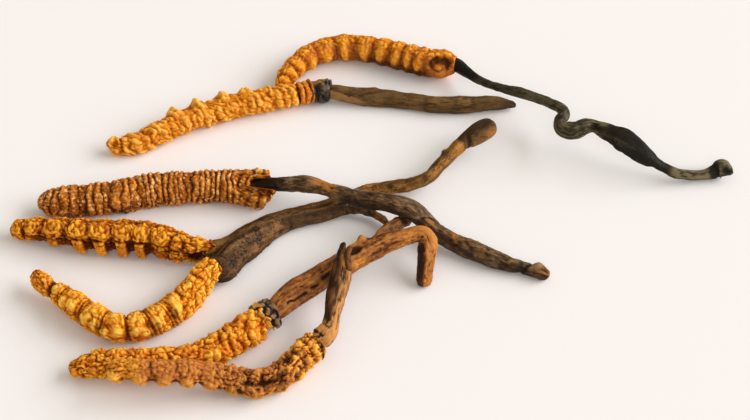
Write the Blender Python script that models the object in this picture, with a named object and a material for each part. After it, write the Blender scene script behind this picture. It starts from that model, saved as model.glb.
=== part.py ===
"""A loose bundle of seven dried larva fungi, lying as they dried: ringed larva bodies with a woody
stalk that grows out of each head. Routes are in millimetres, +Z is up, and the table is at Z = 0."""

import math

import bpy
from mathutils import Vector

MM = 0.001
RING_STEP = 2.2  # from one body ring to the next
RING_DEPTH = 0.28  # from the top of a ring to the crease beside it
BODY_SIDES = 12
STALK_SIDES = 8
STALK_STEP = 2.4  # between two rows of points along a stalk
PER_SPAN = 14  # short steps between two points of a route
SOCKET_DEPTH = 1.4  # how far a stalk is set into its head
SOCKET_GAP = 0.35  # free space all round a stalk inside its socket
FACING = Vector((0.0, -1.0, 1.0)).normalized()  # angle 0 of every cross-section looks this way

# Each body runs from its tail to its head: x, y, z and radius.
BODIES = {
    "larva_1": [
        (-18.5, 31.4, 2.2, 1.35), (-17.7, 34.2, 2.3, 2.13), (-15.2, 38.4, 2.5, 2.4), (-11.8, 41.5, 2.5, 2.55),
        (-7.3, 42.9, 2.5, 2.76), (-1, 42, 2.6, 2.81), (4.9, 39.8, 2.8, 2.94), (10.7, 37.5, 3, 3.02),
        (15, 36.9, 3.2, 2.63),
    ],
    "larva_2": [
        (-50.5, 15.4, 2.4, 1.03), (-48.1, 15.1, 1.8, 1.88), (-44.2, 15.8, 2.1, 2.16),
        (-40.6, 18.1, 2.3, 2.45), (-35.1, 21.6, 2.4, 2.62), (-27.7, 25.2, 2.4, 2.64),
        (-20.1, 27.7, 2.4, 2.49), (-12.3, 30, 2.4, 2.31),
    ],
    "larva_3": [
        (-61.6, -0.4, 2.2, 1.28), (-58.9, -0.5, 2.4, 2.46), (-53.8, -0.3, 2.7, 3.06), (-47.5, 0.4, 2.8, 3.1),
        (-41.2, 2.4, 2.8, 3.17), (-34.8, 3, 2.8, 3.17), (-28.1, 3.3, 2.9, 3.08), (-22.7, 3, 3, 3.3),
    ],
    "larva_4": [
        (-65.5, -7.1, 2, 1.44), (-62.5, -7.2, 2.2, 2.25), (-57, -8.2, 2.6, 2.79), (-51.1, -9.4, 2.9, 3.23),
        (-45.7, -9.7, 3, 3.37), (-40.6, -10.3, 3, 3.4), (-36.2, -11.6, 2.9, 3.03), (-32.6, -12.8, 3, 2.4),
        (-29.9, -13, 3.2, 1.78),
    ],
    "larva_5": [
        (-60, -18.3, 3.7, 1.23), (-57.8, -21.1, 2.9, 1.93), (-54.4, -24.2, 2.4, 2.49),
        (-49.6, -28.3, 2.6, 2.82), (-44.7, -31.3, 2.6, 2.72), (-40.4, -30.8, 2.6, 2.8),
        (-36.6, -28.6, 2.7, 2.97), (-33.2, -25.4, 2.9, 3.04), (-31.1, -22, 3.2, 2.8),
        (-29.7, -19.2, 3.4, 2.51), (-28.4, -17.6, 3.4, 2.2),
    ],
    "larva_6": [
        (-51.5, -39.4, 1.5, 1.1), (-49.3, -39.3, 1.8, 1.86), (-45.9, -39.1, 2.2, 2.46),
        (-39.8, -38.7, 2.5, 2.68), (-33.1, -38, 2.5, 2.68), (-29.2, -37, 2.6, 2.77),
        (-25.1, -34.6, 2.8, 2.87), (-22.3, -32.4, 3.1, 2.83), (-20.3, -30.8, 3.2, 2.58),
    ],
    "larva_7": [
        (-44.9, -43.2, 5.3, 1.42), (-41.9, -43.3, 5.3, 2.09), (-35.9, -43.6, 5.2, 2.22),
        (-30.1, -43.3, 4.5, 2.31), (-25.2, -43.1, 3.1, 2.32), (-21, -43.4, 2.4, 2.49),
        (-17.6, -42.9, 2.5, 2.57), (-14.8, -40.9, 2.7, 2.73), (-12.7, -38.5, 3, 2.71),
        (-10.7, -36.2, 3.3, 2.38),
    ],
}
# Lumps, feet and hollows: distance from the tail, angle round the body, height (negative for a hollow), size.
LUMPS = {
    "larva_1": [
        (8.0, 0, 0.3, 1.6), (11.7, -20, 0.3, 1.6), (15.3, -60, 0.4, 1.3), (18.9, -88, 0.6, 1.3), (22.5, -85, 0.6, 1.3),
        (25.7, -80, 0.5, 1.2), (28.9, -85, 0.3, 1.1), (14.5, 30, 0.4, 1.6), (18.4, 20, 0.4, 1.6), (37.6, 12, -1.0, 1.5),
    ],
    "larva_2": [
        (1.0, -78, 0.5, 0.9), (14.5, -90, 1.3, 1.1), (19.3, -90, 1.2, 1.1), (24.5, -90, 1.2, 1.1),
        (28.9, -90, 1.3, 1.1), (11.2, -38, 0.3, 1.5),
    ],
    "larva_3": [(5, 180, 0.2, 2.0), (37.4, -90, 0.4, 1.4), (36.6, 90, 0.5, 1.6)],
    "larva_4": [
        (8.1, -14, 0.3, 1.7), (12.4, -21, 0.4, 1.7), (16.7, -20, 0.4, 1.7), (21.2, -24, 0.4, 1.7), (24.4, -33, 0.4, 1.7),
        (12.9, 40, 0.6, 1.1), (16.7, 45, 0.8, 1.1), (20.5, 45, 0.8, 1.1), (24.4, 45, 0.8, 1.1),
        (30.8, -32, 0.3, 1.3), (34.1, 45, -0.8, 1.2),
    ],
    "larva_5": [
        (1.2, 0, 0.2, 1.0), (5.8, -30, 0.3, 1.3), (9.4, -40, 0.5, 1.8), (14.9, -45, 0.5, 1.8), (19.3, -48, 0.5, 1.7),
        (24.6, -47, 0.5, 1.8), (28.7, -36, 0.4, 1.7), (17.7, 20, 0.4, 1.6), (23.5, 20, 0.4, 1.6), (34, 0, 0.3, 1.4),
    ],
    "larva_6": [
        (1.6, 37, 0.5, 1.0), (5.3, -60, 0.4, 1.4), (8.5, -50, 0.4, 1.4), (15.3, -48, 0.3, 1.4), (20.5, -60, 0.3, 1.4),
        (24.5, 20, 0.4, 1.6), (28.5, -26, 0.4, 1.6), (31.5, 30, 0.3, 1.5), (31.8, -60, 0.3, 1.4),
    ],
    "larva_7": [
        (5.2, 80, 0.5, 1.1), (9.7, 80, 0.6, 1.1), (13.6, 80, 0.6, 1.1), (17.7, 75, 0.7, 1.1), (21.8, 70, 0.6, 1.1),
        (25.8, 75, 0.6, 1.1), (30, -40, 0.3, 1.4), (35, -42, 0.5, 1.4),
    ],
}
TURN = {  # angle of the first column of points, so that a column runs along the feet or the lobes
    "larva_1": -90, "larva_2": -90, "larva_3": -90, "larva_4": -15, "larva_5": -45,
    "larva_6": -60, "larva_7": 80,
}
MOUTHS = {  # radius of the socket in each head
    "larva_1": 1.35, "larva_2": 1.45, "larva_3": 2.2, "larva_4": 1.2, "larva_5": 1.5,
    "larva_6": 1.6, "larva_7": 1.4,
}
TORN = {"larva_3": [(-90, 2.2), (90, 3.4), (180, 2.0)]}  # angle, and how far the torn skin stands on past the rim
HEADS = {  # black head capsules between a body and its stalk: the route leaves out the socket
    "head_2": ("larva_2", [(-10.6, 30.2, 2.4, 2.51), (-8.7, 30, 2.3, 2.12)], 1.25),
    "head_6": ("larva_6", [(-19.3, -29.7, 3.5, 2.5), (-17.8, -28.7, 3.7, 2.33)], 1.5),
}
# Each stalk grows from the piece named first; then x, y, z, radius and how thick it is against its width.
STALKS = {
    "stalk_1": ("larva_1", [
        (17.8, 33.8, 3.9, 1.01, 1), (20, 31.1, 4.4, 0.92, 1), (23.9, 28, 5.2, 0.99, 1),
        (28.5, 25.3, 6, 1.18, 1), (32.6, 22.3, 6.6, 1.13, 1), (34.8, 20.7, 6.8, 1.17, 1),
        (35.7, 18.7, 6.7, 1.12, 1), (34.6, 16.5, 6.6, 1.16, 1), (34.7, 14.3, 6.6, 1.26, 1),
        (36, 13.7, 6.7, 1.23, 0.9), (37.6, 13.8, 6.9, 1.26, 0.8), (39.2, 14.8, 7.3, 1.3, 0.8),
        (40.9, 14.8, 7.4, 1.3, 0.7), (43.2, 13.3, 7.3, 1.76, 0.5), (46.4, 11.4, 6.5, 2.22, 0.42),
        (49.5, 9.7, 5.2, 1.85, 0.5), (52.2, 8.6, 3.6, 1.3, 0.6), (55, 7.9, 2.2, 1.11, 0.8),
        (58, 7.6, 1.6, 1.02, 1), (61.2, 8, 1.3, 1.02, 1), (63.5, 8.6, 1.6, 1.67, 0.9),
        (64.9, 8.8, 2.2, 1.58, 0.9), (66.1, 8.4, 2.2, 0.93, 0.9),
    ]),
    "stalk_2": ("head_2", [
        (-4.2, 29.5, 1.8, 1.73, 0.9), (1, 29, 1.5, 1.73, 0.9), (6.7, 28.1, 1.4, 1.58, 0.95),
        (12.5, 27, 1.5, 1.65, 0.9), (17.9, 27.1, 1.5, 1.61, 0.9), (22.5, 27.7, 1.4, 1.4, 0.9),
        (26.1, 27.6, 1.1, 1.06, 1), (26.9, 27.4, 1.1, 0.67, 1),
    ]),
    "stalk_3": ("larva_3", [
        (-18.3, 2.9, 3.7, 1.32, 1), (-13.1, 2.1, 4.6, 1.61, 0.9), (-9.6, 0.9, 4.8, 1.35, 0.9),
        (-6, -0.8, 4.9, 1.38, 0.9), (-1.6, -2.8, 5.4, 1.63, 0.9), (3.6, -4.5, 5.9, 1.73, 0.9),
        (6.7, -5.5, 5.2, 1.76, 0.9), (8.8, -6.7, 4, 1.55, 0.9), (11.1, -8.4, 2.9, 1.47, 1),
        (14.3, -10.1, 2.1, 1.72, 0.9), (19.6, -13.1, 1.8, 1.78, 0.9), (24, -14.9, 1.4, 1.46, 1),
        (27.2, -15.8, 1.2, 1.21, 1), (29.4, -16.5, 1.2, 1.28, 1), (30.8, -17.3, 1.1, 0.8, 1),
    ]),
    "stalk_4": ("larva_4", [
        (-26.3, -9.8, 2.5, 1.13, 1), (-21.9, -5.4, 1.9, 1.05, 1), (-17.1, -2.5, 1.6, 1.06, 1),
        (-11.7, -0.7, 1.5, 1.1, 1), (-6.2, 1.6, 1.5, 1.14, 1), (-1.8, 3.6, 1.6, 1.18, 1),
        (2.4, 4.2, 1.8, 1.22, 1), (6.8, 4.4, 2.4, 1.29, 1), (9.6, 5.7, 3, 1.29, 1), (11.8, 8.3, 3.6, 1.29, 1),
        (14.1, 11.4, 4, 1.3, 1), (17, 14, 4.5, 1.64, 1), (19.6, 16, 4.9, 2.06, 0.9),
        (21.6, 17.3, 5, 1.87, 0.9), (22.6, 18, 5, 0.94, 0.9),
    ]),
    "stalk_5": ("larva_5", [
        (-26.3, -16.7, 2.7, 2.3, 0.6), (-24.4, -13.7, 2.4, 2.31, 0.6), (-21.5, -10, 2, 2.15, 0.6),
        (-18.9, -7.1, 1.7, 1.71, 0.7), (-16.5, -5.3, 1.5, 1.41, 0.8), (-13.4, -3.9, 1.4, 1.27, 0.9),
        (-8.9, -2.5, 1.3, 1.2, 0.95), (-4.6, -1.2, 1.2, 1.02, 1), (-0.9, -1.6, 1.1, 0.89, 1),
        (1.6, -2.8, 1, 0.78, 1), (2.8, -4, 1, 0.47, 1),
    ]),
    "stalk_6": ("head_6", [
        (-14.4, -25.6, 4.2, 2.39, 0.9), (-9.6, -21.4, 4.5, 2.23, 0.9), (-5.3, -18.3, 5.1, 2.16, 0.9),
        (-0.9, -15.8, 5.7, 1.99, 0.9), (3.2, -13.5, 6.3, 1.77, 0.9), (6.4, -12.2, 6.7, 1.5, 0.9),
        (8.7, -12.1, 6.7, 1.5, 0.9), (9.9, -13.1, 5.7, 1.59, 0.9), (9.6, -14.7, 4.2, 1.65, 0.9),
        (9.1, -17, 2.5, 1.59, 0.9), (8.8, -18.8, 1.3, 1.32, 0.9), (8.6, -20.1, 0.9, 0.71, 1),
    ]),
    "stalk_7": ("larva_7", [
        (-8.5, -34.4, 3.9, 2.05, 0.9), (-7.5, -32.6, 4.6, 1.88, 0.9), (-6.9, -30.1, 5.6, 1.75, 0.9),
        (-6.4, -27.1, 6.7, 1.72, 0.9), (-6, -24.1, 7.7, 1.69, 0.9), (-5.9, -21.4, 8.3, 1.32, 0.9),
        (-5.7, -18.9, 8.6, 0.87, 1), (-5.4, -16.7, 8.7, 0.35, 1),
    ]),
    "stalk_6_branch": (None, [
        (1.1, -10.2, 4.4, 1.07, 1), (2.7, -7.5, 3.3, 1.15, 1), (4.5, -4.7, 2.3, 1.16, 1),
        (6.1, -4.1, 2, 1, 1),
    ]),
    "stalk_7_branch": (None, [
        (-3.5, -23.3, 8.9, 0.52, 1), (-3.7, -21.7, 9.2, 0.57, 1), (-3.7, -19.7, 9.1, 0.56, 1),
        (-3.1, -17.6, 8.7, 0.4, 1),
    ]),
}
KNOTS = {  # knobs and hollows on the stalks, as in LUMPS
    "stalk_4": [(52.3, -90, 0.4, 0.9)],
    "stalk_6": [(22.6, -100, 1.2, 1.1), (20.3, -50, -0.5, 1.0), (3.0, 90, 0.4, 1.2)],
}
COLOURS = {
    "larva_1": (0.55, 0.24, 0.03), "larva_2": (0.60, 0.28, 0.04), "larva_3": (0.38, 0.18, 0.04),
    "larva_4": (0.55, 0.24, 0.03), "larva_5": (0.65, 0.33, 0.05), "larva_6": (0.58, 0.27, 0.04),
    "larva_7": (0.45, 0.21, 0.06), "head_2": (0.02, 0.018, 0.015), "head_6": (0.02, 0.018, 0.015),
    "stalk_1": (0.025, 0.024, 0.018), "stalk_2": (0.09, 0.06, 0.03), "stalk_3": (0.06, 0.04, 0.025),
    "stalk_4": (0.14, 0.08, 0.03), "stalk_5": (0.08, 0.055, 0.035), "stalk_6": (0.2, 0.085, 0.03),
    "stalk_7": (0.2, 0.085, 0.03), "stalk_6_branch": (0.2, 0.085, 0.03), "stalk_7_branch": (0.2, 0.085, 0.03),
}


def spline(points):
    """A smooth line through points of any length, as many short steps."""
    first = [2 * a - b for a, b in zip(points[0], points[1])]
    last = [2 * a - b for a, b in zip(points[-1], points[-2])]
    spread = [first, *points, last]
    line = []
    for i in range(1, len(spread) - 2):
        for k in range(PER_SPAN):
            t = k / PER_SPAN
            line.append([
                0.5 * (2 * b + (c - a) * t + (2 * a - 5 * b + 4 * c - d) * t**2 + (3 * b - a - 3 * c + d) * t**3)
                for a, b, c, d in zip(*spread[i - 1 : i + 3])
            ])
    line.append(list(points[-1]))
    return line


class Route:
    """A smooth line with a radius, measured along its length."""

    def __init__(self, points):
        self.line = spline(points)
        self.at = [0.0]
        for a, b in zip(self.line, self.line[1:]):
            self.at.append(self.at[-1] + math.dist(a[:3], b[:3]))
        self.length = self.at[-1]
        self.marks = self.at[::PER_SPAN]

    def values(self, s):
        """Everything that the points hold, at distance s."""
        s = min(max(s, 0.0), self.length)
        i = next((i for i, a in enumerate(self.at[1:]) if a >= s), len(self.at) - 2)
        share = (s - self.at[i]) / (self.at[i + 1] - self.at[i])
        return [a + (b - a) * share for a, b in zip(self.line[i], self.line[i + 1])]

    def frame(self, s):
        """The centre at distance s, the way along, and the directions of angle 0 and of angle 90."""
        before = Vector(self.values(s - 0.5)[:3])
        after = Vector(self.values(s + 0.5)[:3])
        along = (after - before).normalized()
        front = (FACING - FACING.dot(along) * along).normalized()
        return Vector(self.values(s)[:3]), along, front, along.cross(front)


def wobble(*numbers):
    """A fixed value from -1 to 1 for these numbers, for small irregularities."""
    value = 43758.5 * math.sin(sum(n * k for n, k in zip(numbers, (12.99, 78.23, 37.72))))
    return 2 * (value - math.floor(value)) - 1


def lump_height(lumps, s, angle, radius):
    """The height at one point of all of a piece's lumps together."""
    total = 0.0
    for where, turn, height, size in lumps:
        round_it = math.radians((angle - turn + 180) % 360 - 180) * radius
        total += height * math.exp(-((s - where) ** 2 + round_it**2) / (0.9 * size) ** 2)
    return total


def rows_between(length, step, lumps):
    """Distances for the rows of points: even steps, with the nearest row moved onto each lump."""
    count = max(2, round(length / step))
    rows = [length * i / count for i in range(1, count)]
    for where, *_ in lumps:
        nearest = min(range(len(rows)), key=lambda i: abs(rows[i] - where))
        if abs(rows[nearest] - where) < 0.3 * step:
            rows[nearest] = where
    return rows


def rows_at_marks(route, step):
    """Distances for the rows of a stalk: one at each point of its route, and more where those are far apart."""
    rows = []
    for a, b in zip(route.marks, route.marks[1:]):
        parts = max(1, round((b - a) / step))
        rows += [a + (b - a) * k / parts for k in range(parts)]
    return [s for s in rows if 0.35 < s < route.length - 0.5]


def rounded_end(s, radius):
    """The share of the full radius at distance s from a rounded end."""
    share = min(1.0, max(0.0, s / radius))
    return math.sqrt(1 - (1 - share) ** 2)


def ring(route, s, angles, radius_at, shift=None):
    """One row of points round the route. shift moves points along it."""
    centre, along, front, side = route.frame(s)
    thick = (route.values(s) + [1.0])[4]
    swell = 0.4 + 0.6 / math.cos(math.pi / len(angles))  # flat sides would otherwise all lie inside the round
    points = []
    for a in angles:
        radius = radius_at(a) * swell
        c, d = math.cos(math.radians(a)), math.sin(math.radians(a))
        point = centre + front * radius * c * thick + side * radius * d
        points.append(point + along * shift(a) if shift else point)
    return points


def skin(name, start, rings, end):
    """A closed solid from rows of points, with one point at each end."""
    count = len(rings[0])
    points = [start, *[p for r in rings for p in r], end]
    faces = [(0, 1 + (j + 1) % count, 1 + j) for j in range(count)]
    for i in range(len(rings) - 1):
        a, b = 1 + i * count, 1 + (i + 1) * count
        for j in range(count):
            k = (j + 1) % count
            faces.append((a + j, a + k, b + k))
            faces.append((a + j, b + k, b + j))
    last = 1 + (len(rings) - 1) * count
    faces += [(len(points) - 1, last + j, last + (j + 1) % count) for j in range(count)]
    points = [(p[0] * MM, p[1] * MM, max(p[2], 0.0) * MM) for p in points]
    mesh = bpy.data.meshes.new(name)
    mesh.from_pydata(points, [], faces)
    obj = bpy.data.objects.new(name, mesh)
    bpy.context.scene.collection.objects.link(obj)
    material = bpy.data.materials.new(name)
    material.use_nodes = True
    shader = material.node_tree.nodes["Principled BSDF"]
    shader.inputs["Base Color"].default_value = (*COLOURS[name], 1)
    shader.inputs["Roughness"].default_value = 0.6
    mesh.materials.append(material)


def socket(route, angles, inner, shift=None):
    """The rows that turn in over a rim and line a socket, then the point at its bottom."""
    rim = ring(route, route.length, angles, lambda a: inner + 0.1, shift)
    wall = ring(route, route.length - 0.2, angles, lambda a: inner)
    floor = ring(route, route.length - SOCKET_DEPTH, angles, lambda a: inner)
    return [rim, wall, floor], route.frame(route.length - SOCKET_DEPTH)[0]


def body(name):
    """A larva: rings along it, lumps and feet, a rounded tail and a socket in its head."""
    route = Route(BODIES[name])
    lumps = LUMPS[name]
    angles = [TURN[name] + 360 * j / BODY_SIDES for j in range(BODY_SIDES)]
    seed = list(BODIES).index(name) + 1
    rows = [0.35, *rows_between(route.length, RING_STEP / 2, lumps)]
    rings = []
    for i, s in enumerate(rows):
        full = route.values(s)[3] * (0.35 + 0.65 * rounded_end(s, 2.2))
        crease = RING_DEPTH * (i % 2) if s > 1.2 else 0.0

        def radius_at(a):
            uneven = 0.035 * full * wobble(i, round(a), seed)
            return full - crease + uneven + lump_height(lumps, s, a, full)

        rings.append(ring(route, s, angles, radius_at))
    torn = TORN.get(name)

    def past_rim(a):
        return lump_height([(0, turn, far, 1.6) for turn, far in torn], 0, a, route.values(route.length)[3])

    outer = route.values(route.length)[3]
    rings.append(ring(route, route.length, angles, lambda a: outer, past_rim if torn else None))
    lining, bottom = socket(route, angles, MOUTHS[name], past_rim if torn else None)
    skin(name, route.frame(0.0)[0], rings + lining, bottom)
    return route.frame(route.length)[0], route.frame(route.length - 0.6)[1], MOUTHS[name]


def rooted(mouth, points):
    """The points with three more ahead of them, which set the piece straight into its socket."""
    rim, along, inner = mouth
    neck = min(inner - SOCKET_GAP, points[0][3])
    ahead = []
    for far in (0.4 - SOCKET_DEPTH, -0.2, 0.5):
        ahead.append((*(rim + along * far), neck, *points[0][4:]))
    return ahead + points


def head(name, mouth, points, inner):
    """A black head capsule: a neck in the body's socket, a lumpy middle and a socket for the stalk."""
    route = Route(rooted(mouth, points))
    angles = [360 * j / 10 for j in range(10)]
    rings = []
    for i, s in enumerate([0.05, 1.0, 1.5, 2.2, 2.9, *rows_between(route.length, 0.8, [])]):
        if i > 4 and s < 3.3:
            continue
        full = route.values(s)[3]
        ragged = 0.1 if s > 1.2 else 0.0
        rings.append(ring(route, s, angles, lambda a: full * (1 + ragged * wobble(i, round(a), 5))))
    rings.append(ring(route, route.length, angles, lambda a: route.values(route.length)[3]))
    lining, bottom = socket(route, angles, inner)
    skin(name, route.frame(0.0)[0], rings + lining, bottom)
    return route.frame(route.length)[0], route.frame(route.length - 0.6)[1], inner


def stalk(name, mouth, points):
    """A stalk: grooved along its length, with a rounded tip, and set in a socket if it has one."""
    route = Route(rooted(mouth, points) if mouth else points)
    knots = KNOTS.get(name, [])
    seed = list(STALKS).index(name) + 11
    angles = [22 + 360 * j / STALK_SIDES for j in range(STALK_SIDES)]
    rings = []
    for i, s in enumerate([0.1, *rows_at_marks(route, STALK_STEP), route.length - 0.15]):
        tip = route.values(route.length)[3]
        full = route.values(s)[3] * (0.45 + 0.55 * rounded_end(route.length - s, tip))
        groove = 0.06 if s > 1.2 else 0.0

        def radius_at(a):
            uneven = groove * wobble(round(a), seed) + 0.5 * groove * wobble(i, round(a), seed)
            return full * (1 + uneven) + lump_height(knots, s, a, full)

        rings.append(ring(route, s, angles, radius_at))
    skin(name, route.frame(0.0)[0], rings, route.frame(route.length)[0])


for old in list(bpy.data.objects):
    bpy.data.objects.remove(old)
mouths = {name: body(name) for name in BODIES}
for name, (grows_from, points, inner) in HEADS.items():
    mouths[name] = head(name, mouths[grows_from], points, inner)
for name, (grows_from, points) in STALKS.items():
    stalk(name, mouths.get(grows_from), points)
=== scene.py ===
# %% [markdown]
# # A loose bundle of seven dried larva fungi
# Each piece on the table is a larva that a fungus has filled and dried, with the fungus's woody
# stalk growing out of its head. The bodies are golden, ringed and lumpy; the stalks are dark,
# thin and wrinkled. This file puts a detailed skin over each plain solid of the bundle, piece by
# piece, then colours them, lights them and sets the camera. Lengths are in millimetres until the
# last step of each mesh.
#
# The solids come first. They say where everything is.

import math

import bpy
import numpy as np
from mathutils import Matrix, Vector


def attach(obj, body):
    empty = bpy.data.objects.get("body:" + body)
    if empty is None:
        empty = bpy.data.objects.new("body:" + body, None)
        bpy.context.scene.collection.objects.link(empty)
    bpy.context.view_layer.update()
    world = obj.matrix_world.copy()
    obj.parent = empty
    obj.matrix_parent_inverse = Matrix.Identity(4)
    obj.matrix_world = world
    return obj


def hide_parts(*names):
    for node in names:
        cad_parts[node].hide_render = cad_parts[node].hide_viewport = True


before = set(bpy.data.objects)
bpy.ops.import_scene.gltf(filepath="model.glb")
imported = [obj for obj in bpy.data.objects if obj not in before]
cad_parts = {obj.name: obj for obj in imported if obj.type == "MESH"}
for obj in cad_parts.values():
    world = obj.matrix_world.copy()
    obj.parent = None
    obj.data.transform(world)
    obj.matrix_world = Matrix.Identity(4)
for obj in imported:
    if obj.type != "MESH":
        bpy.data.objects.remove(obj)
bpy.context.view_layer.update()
bpy.ops.object.select_all(action="DESELECT")


# %% [markdown]
# ## Where each piece runs
# A dried larva or stalk is a bent tube whose thickness changes. The shortest honest description
# is a row of points down its middle, each with a radius, and that is also how its solid was made.
# A larva runs from its tail to its head. A stalk runs from its root to its tip, and its last
# number says how thick it is against its width, because some stalks dried flat.

# %% The middle lines
LARVAE = {
    "larva_1": [
        (-18.2, 31.0, 2.2, 1.35), (-17.3, 33.7, 2.3, 2.1), (-14.8, 37.8, 2.5, 2.35),
        (-11.5, 40.9, 2.5, 2.5), (-7.2, 42.6, 2.5, 2.66), (-1, 42, 2.6, 2.7),
        (4.9, 39.8, 2.8, 2.86), (10.7, 37.5, 3, 2.98), (13.9, 37.1, 3.15, 2.8),
        (15.4, 36.8, 3.2, 2.15),
    ],
    "larva_2": [
        (-50.5, 15.4, 2.4, 1.03), (-48.1, 15.2, 1.8, 1.8), (-44.2, 16.0, 2.0, 2.05),
        (-40.6, 18.5, 2.2, 2.15), (-35.1, 22.0, 2.3, 2.3), (-27.7, 25.3, 2.3, 2.3),
        (-20.1, 27.6, 2.3, 2.25), (-12.3, 30, 2.4, 2.25),
    ],
    "larva_3": [
        (-61.6, -0.4, 2.2, 1.28), (-58.9, -0.5, 2.4, 2.46), (-53.8, -0.3, 2.7, 3.04),
        (-47.5, 0.4, 2.8, 3.08), (-41.2, 2.4, 2.8, 3.12), (-34.8, 3, 2.8, 3.1),
        (-28.1, 3.3, 2.9, 3.05), (-22.7, 3, 3, 3.3),
    ],
    "larva_4": [
        (-65.8, -7.2, 2, 1.6), (-62.5, -7.2, 2.2, 2.25), (-57, -8.2, 2.6, 2.79),
        (-51.1, -9.4, 2.9, 3.2), (-45.7, -9.7, 3, 3.3), (-40.6, -10.3, 3, 3.35),
        (-36.2, -11.6, 2.9, 3.03), (-32.6, -12.8, 3, 2.45), (-29.9, -13, 3.2, 1.9),
    ],
    "larva_5": [
        (-60, -18.7, 3.4, 1.4), (-57.8, -21.3, 2.8, 1.8), (-54.1, -24.0, 2.4, 2.3),
        (-49.5, -28.1, 2.5, 2.65), (-44.7, -31.2, 2.6, 2.68), (-40.4, -30.8, 2.6, 2.8),
        (-36.6, -28.6, 2.7, 2.92), (-33.2, -25.4, 2.9, 2.98), (-31.1, -22, 3.2, 2.75),
        (-29.7, -19.2, 3.4, 2.51), (-28.4, -17.6, 3.4, 2.2),
    ],
    "larva_6": [
        (-52.0, -39.5, 1.5, 1.15), (-49.4, -39.4, 1.8, 1.86), (-45.9, -39.2, 2.2, 2.35),
        (-39.8, -39.0, 2.4, 2.48), (-33.1, -38.4, 2.4, 2.42), (-29.2, -37.4, 2.5, 2.52),
        (-25.1, -34.9, 2.8, 2.72), (-22.3, -32.5, 3.1, 2.8), (-20.3, -30.8, 3.2, 2.58),
    ],
    "larva_7": [
        (-44.9, -43.1, 5.3, 1.42), (-41.9, -43.2, 5.3, 2.0), (-35.9, -43.4, 5.2, 2.1),
        (-30.1, -43.1, 4.5, 2.2), (-25.2, -43.0, 3.1, 2.25), (-21, -43.4, 2.4, 2.35),
        (-17.6, -43.0, 2.4, 2.32), (-14.8, -41.0, 2.7, 2.45), (-12.7, -38.6, 3, 2.5),
        (-10.1, -35.7, 3.5, 2.36),
    ],
}
MOUTHS = {  # the radius of the hole in each head end
    "larva_1": 1.35, "larva_2": 1.45, "larva_3": 2.2, "larva_4": 1.2, "larva_5": 1.5,
    "larva_6": 1.6, "larva_7": 1.4,
}
HEADS = {  # black head shells: the larva under each, its points, and the radius of its hole
    "head_2": ("larva_2", [(-10.6, 30.2, 2.4, 2.51), (-8.7, 30, 2.3, 2.12)], 1.25),
    "head_6": ("larva_6", [(-19.3, -29.7, 3.5, 2.5), (-17.8, -28.7, 3.7, 2.33)], 1.5),
}
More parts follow.
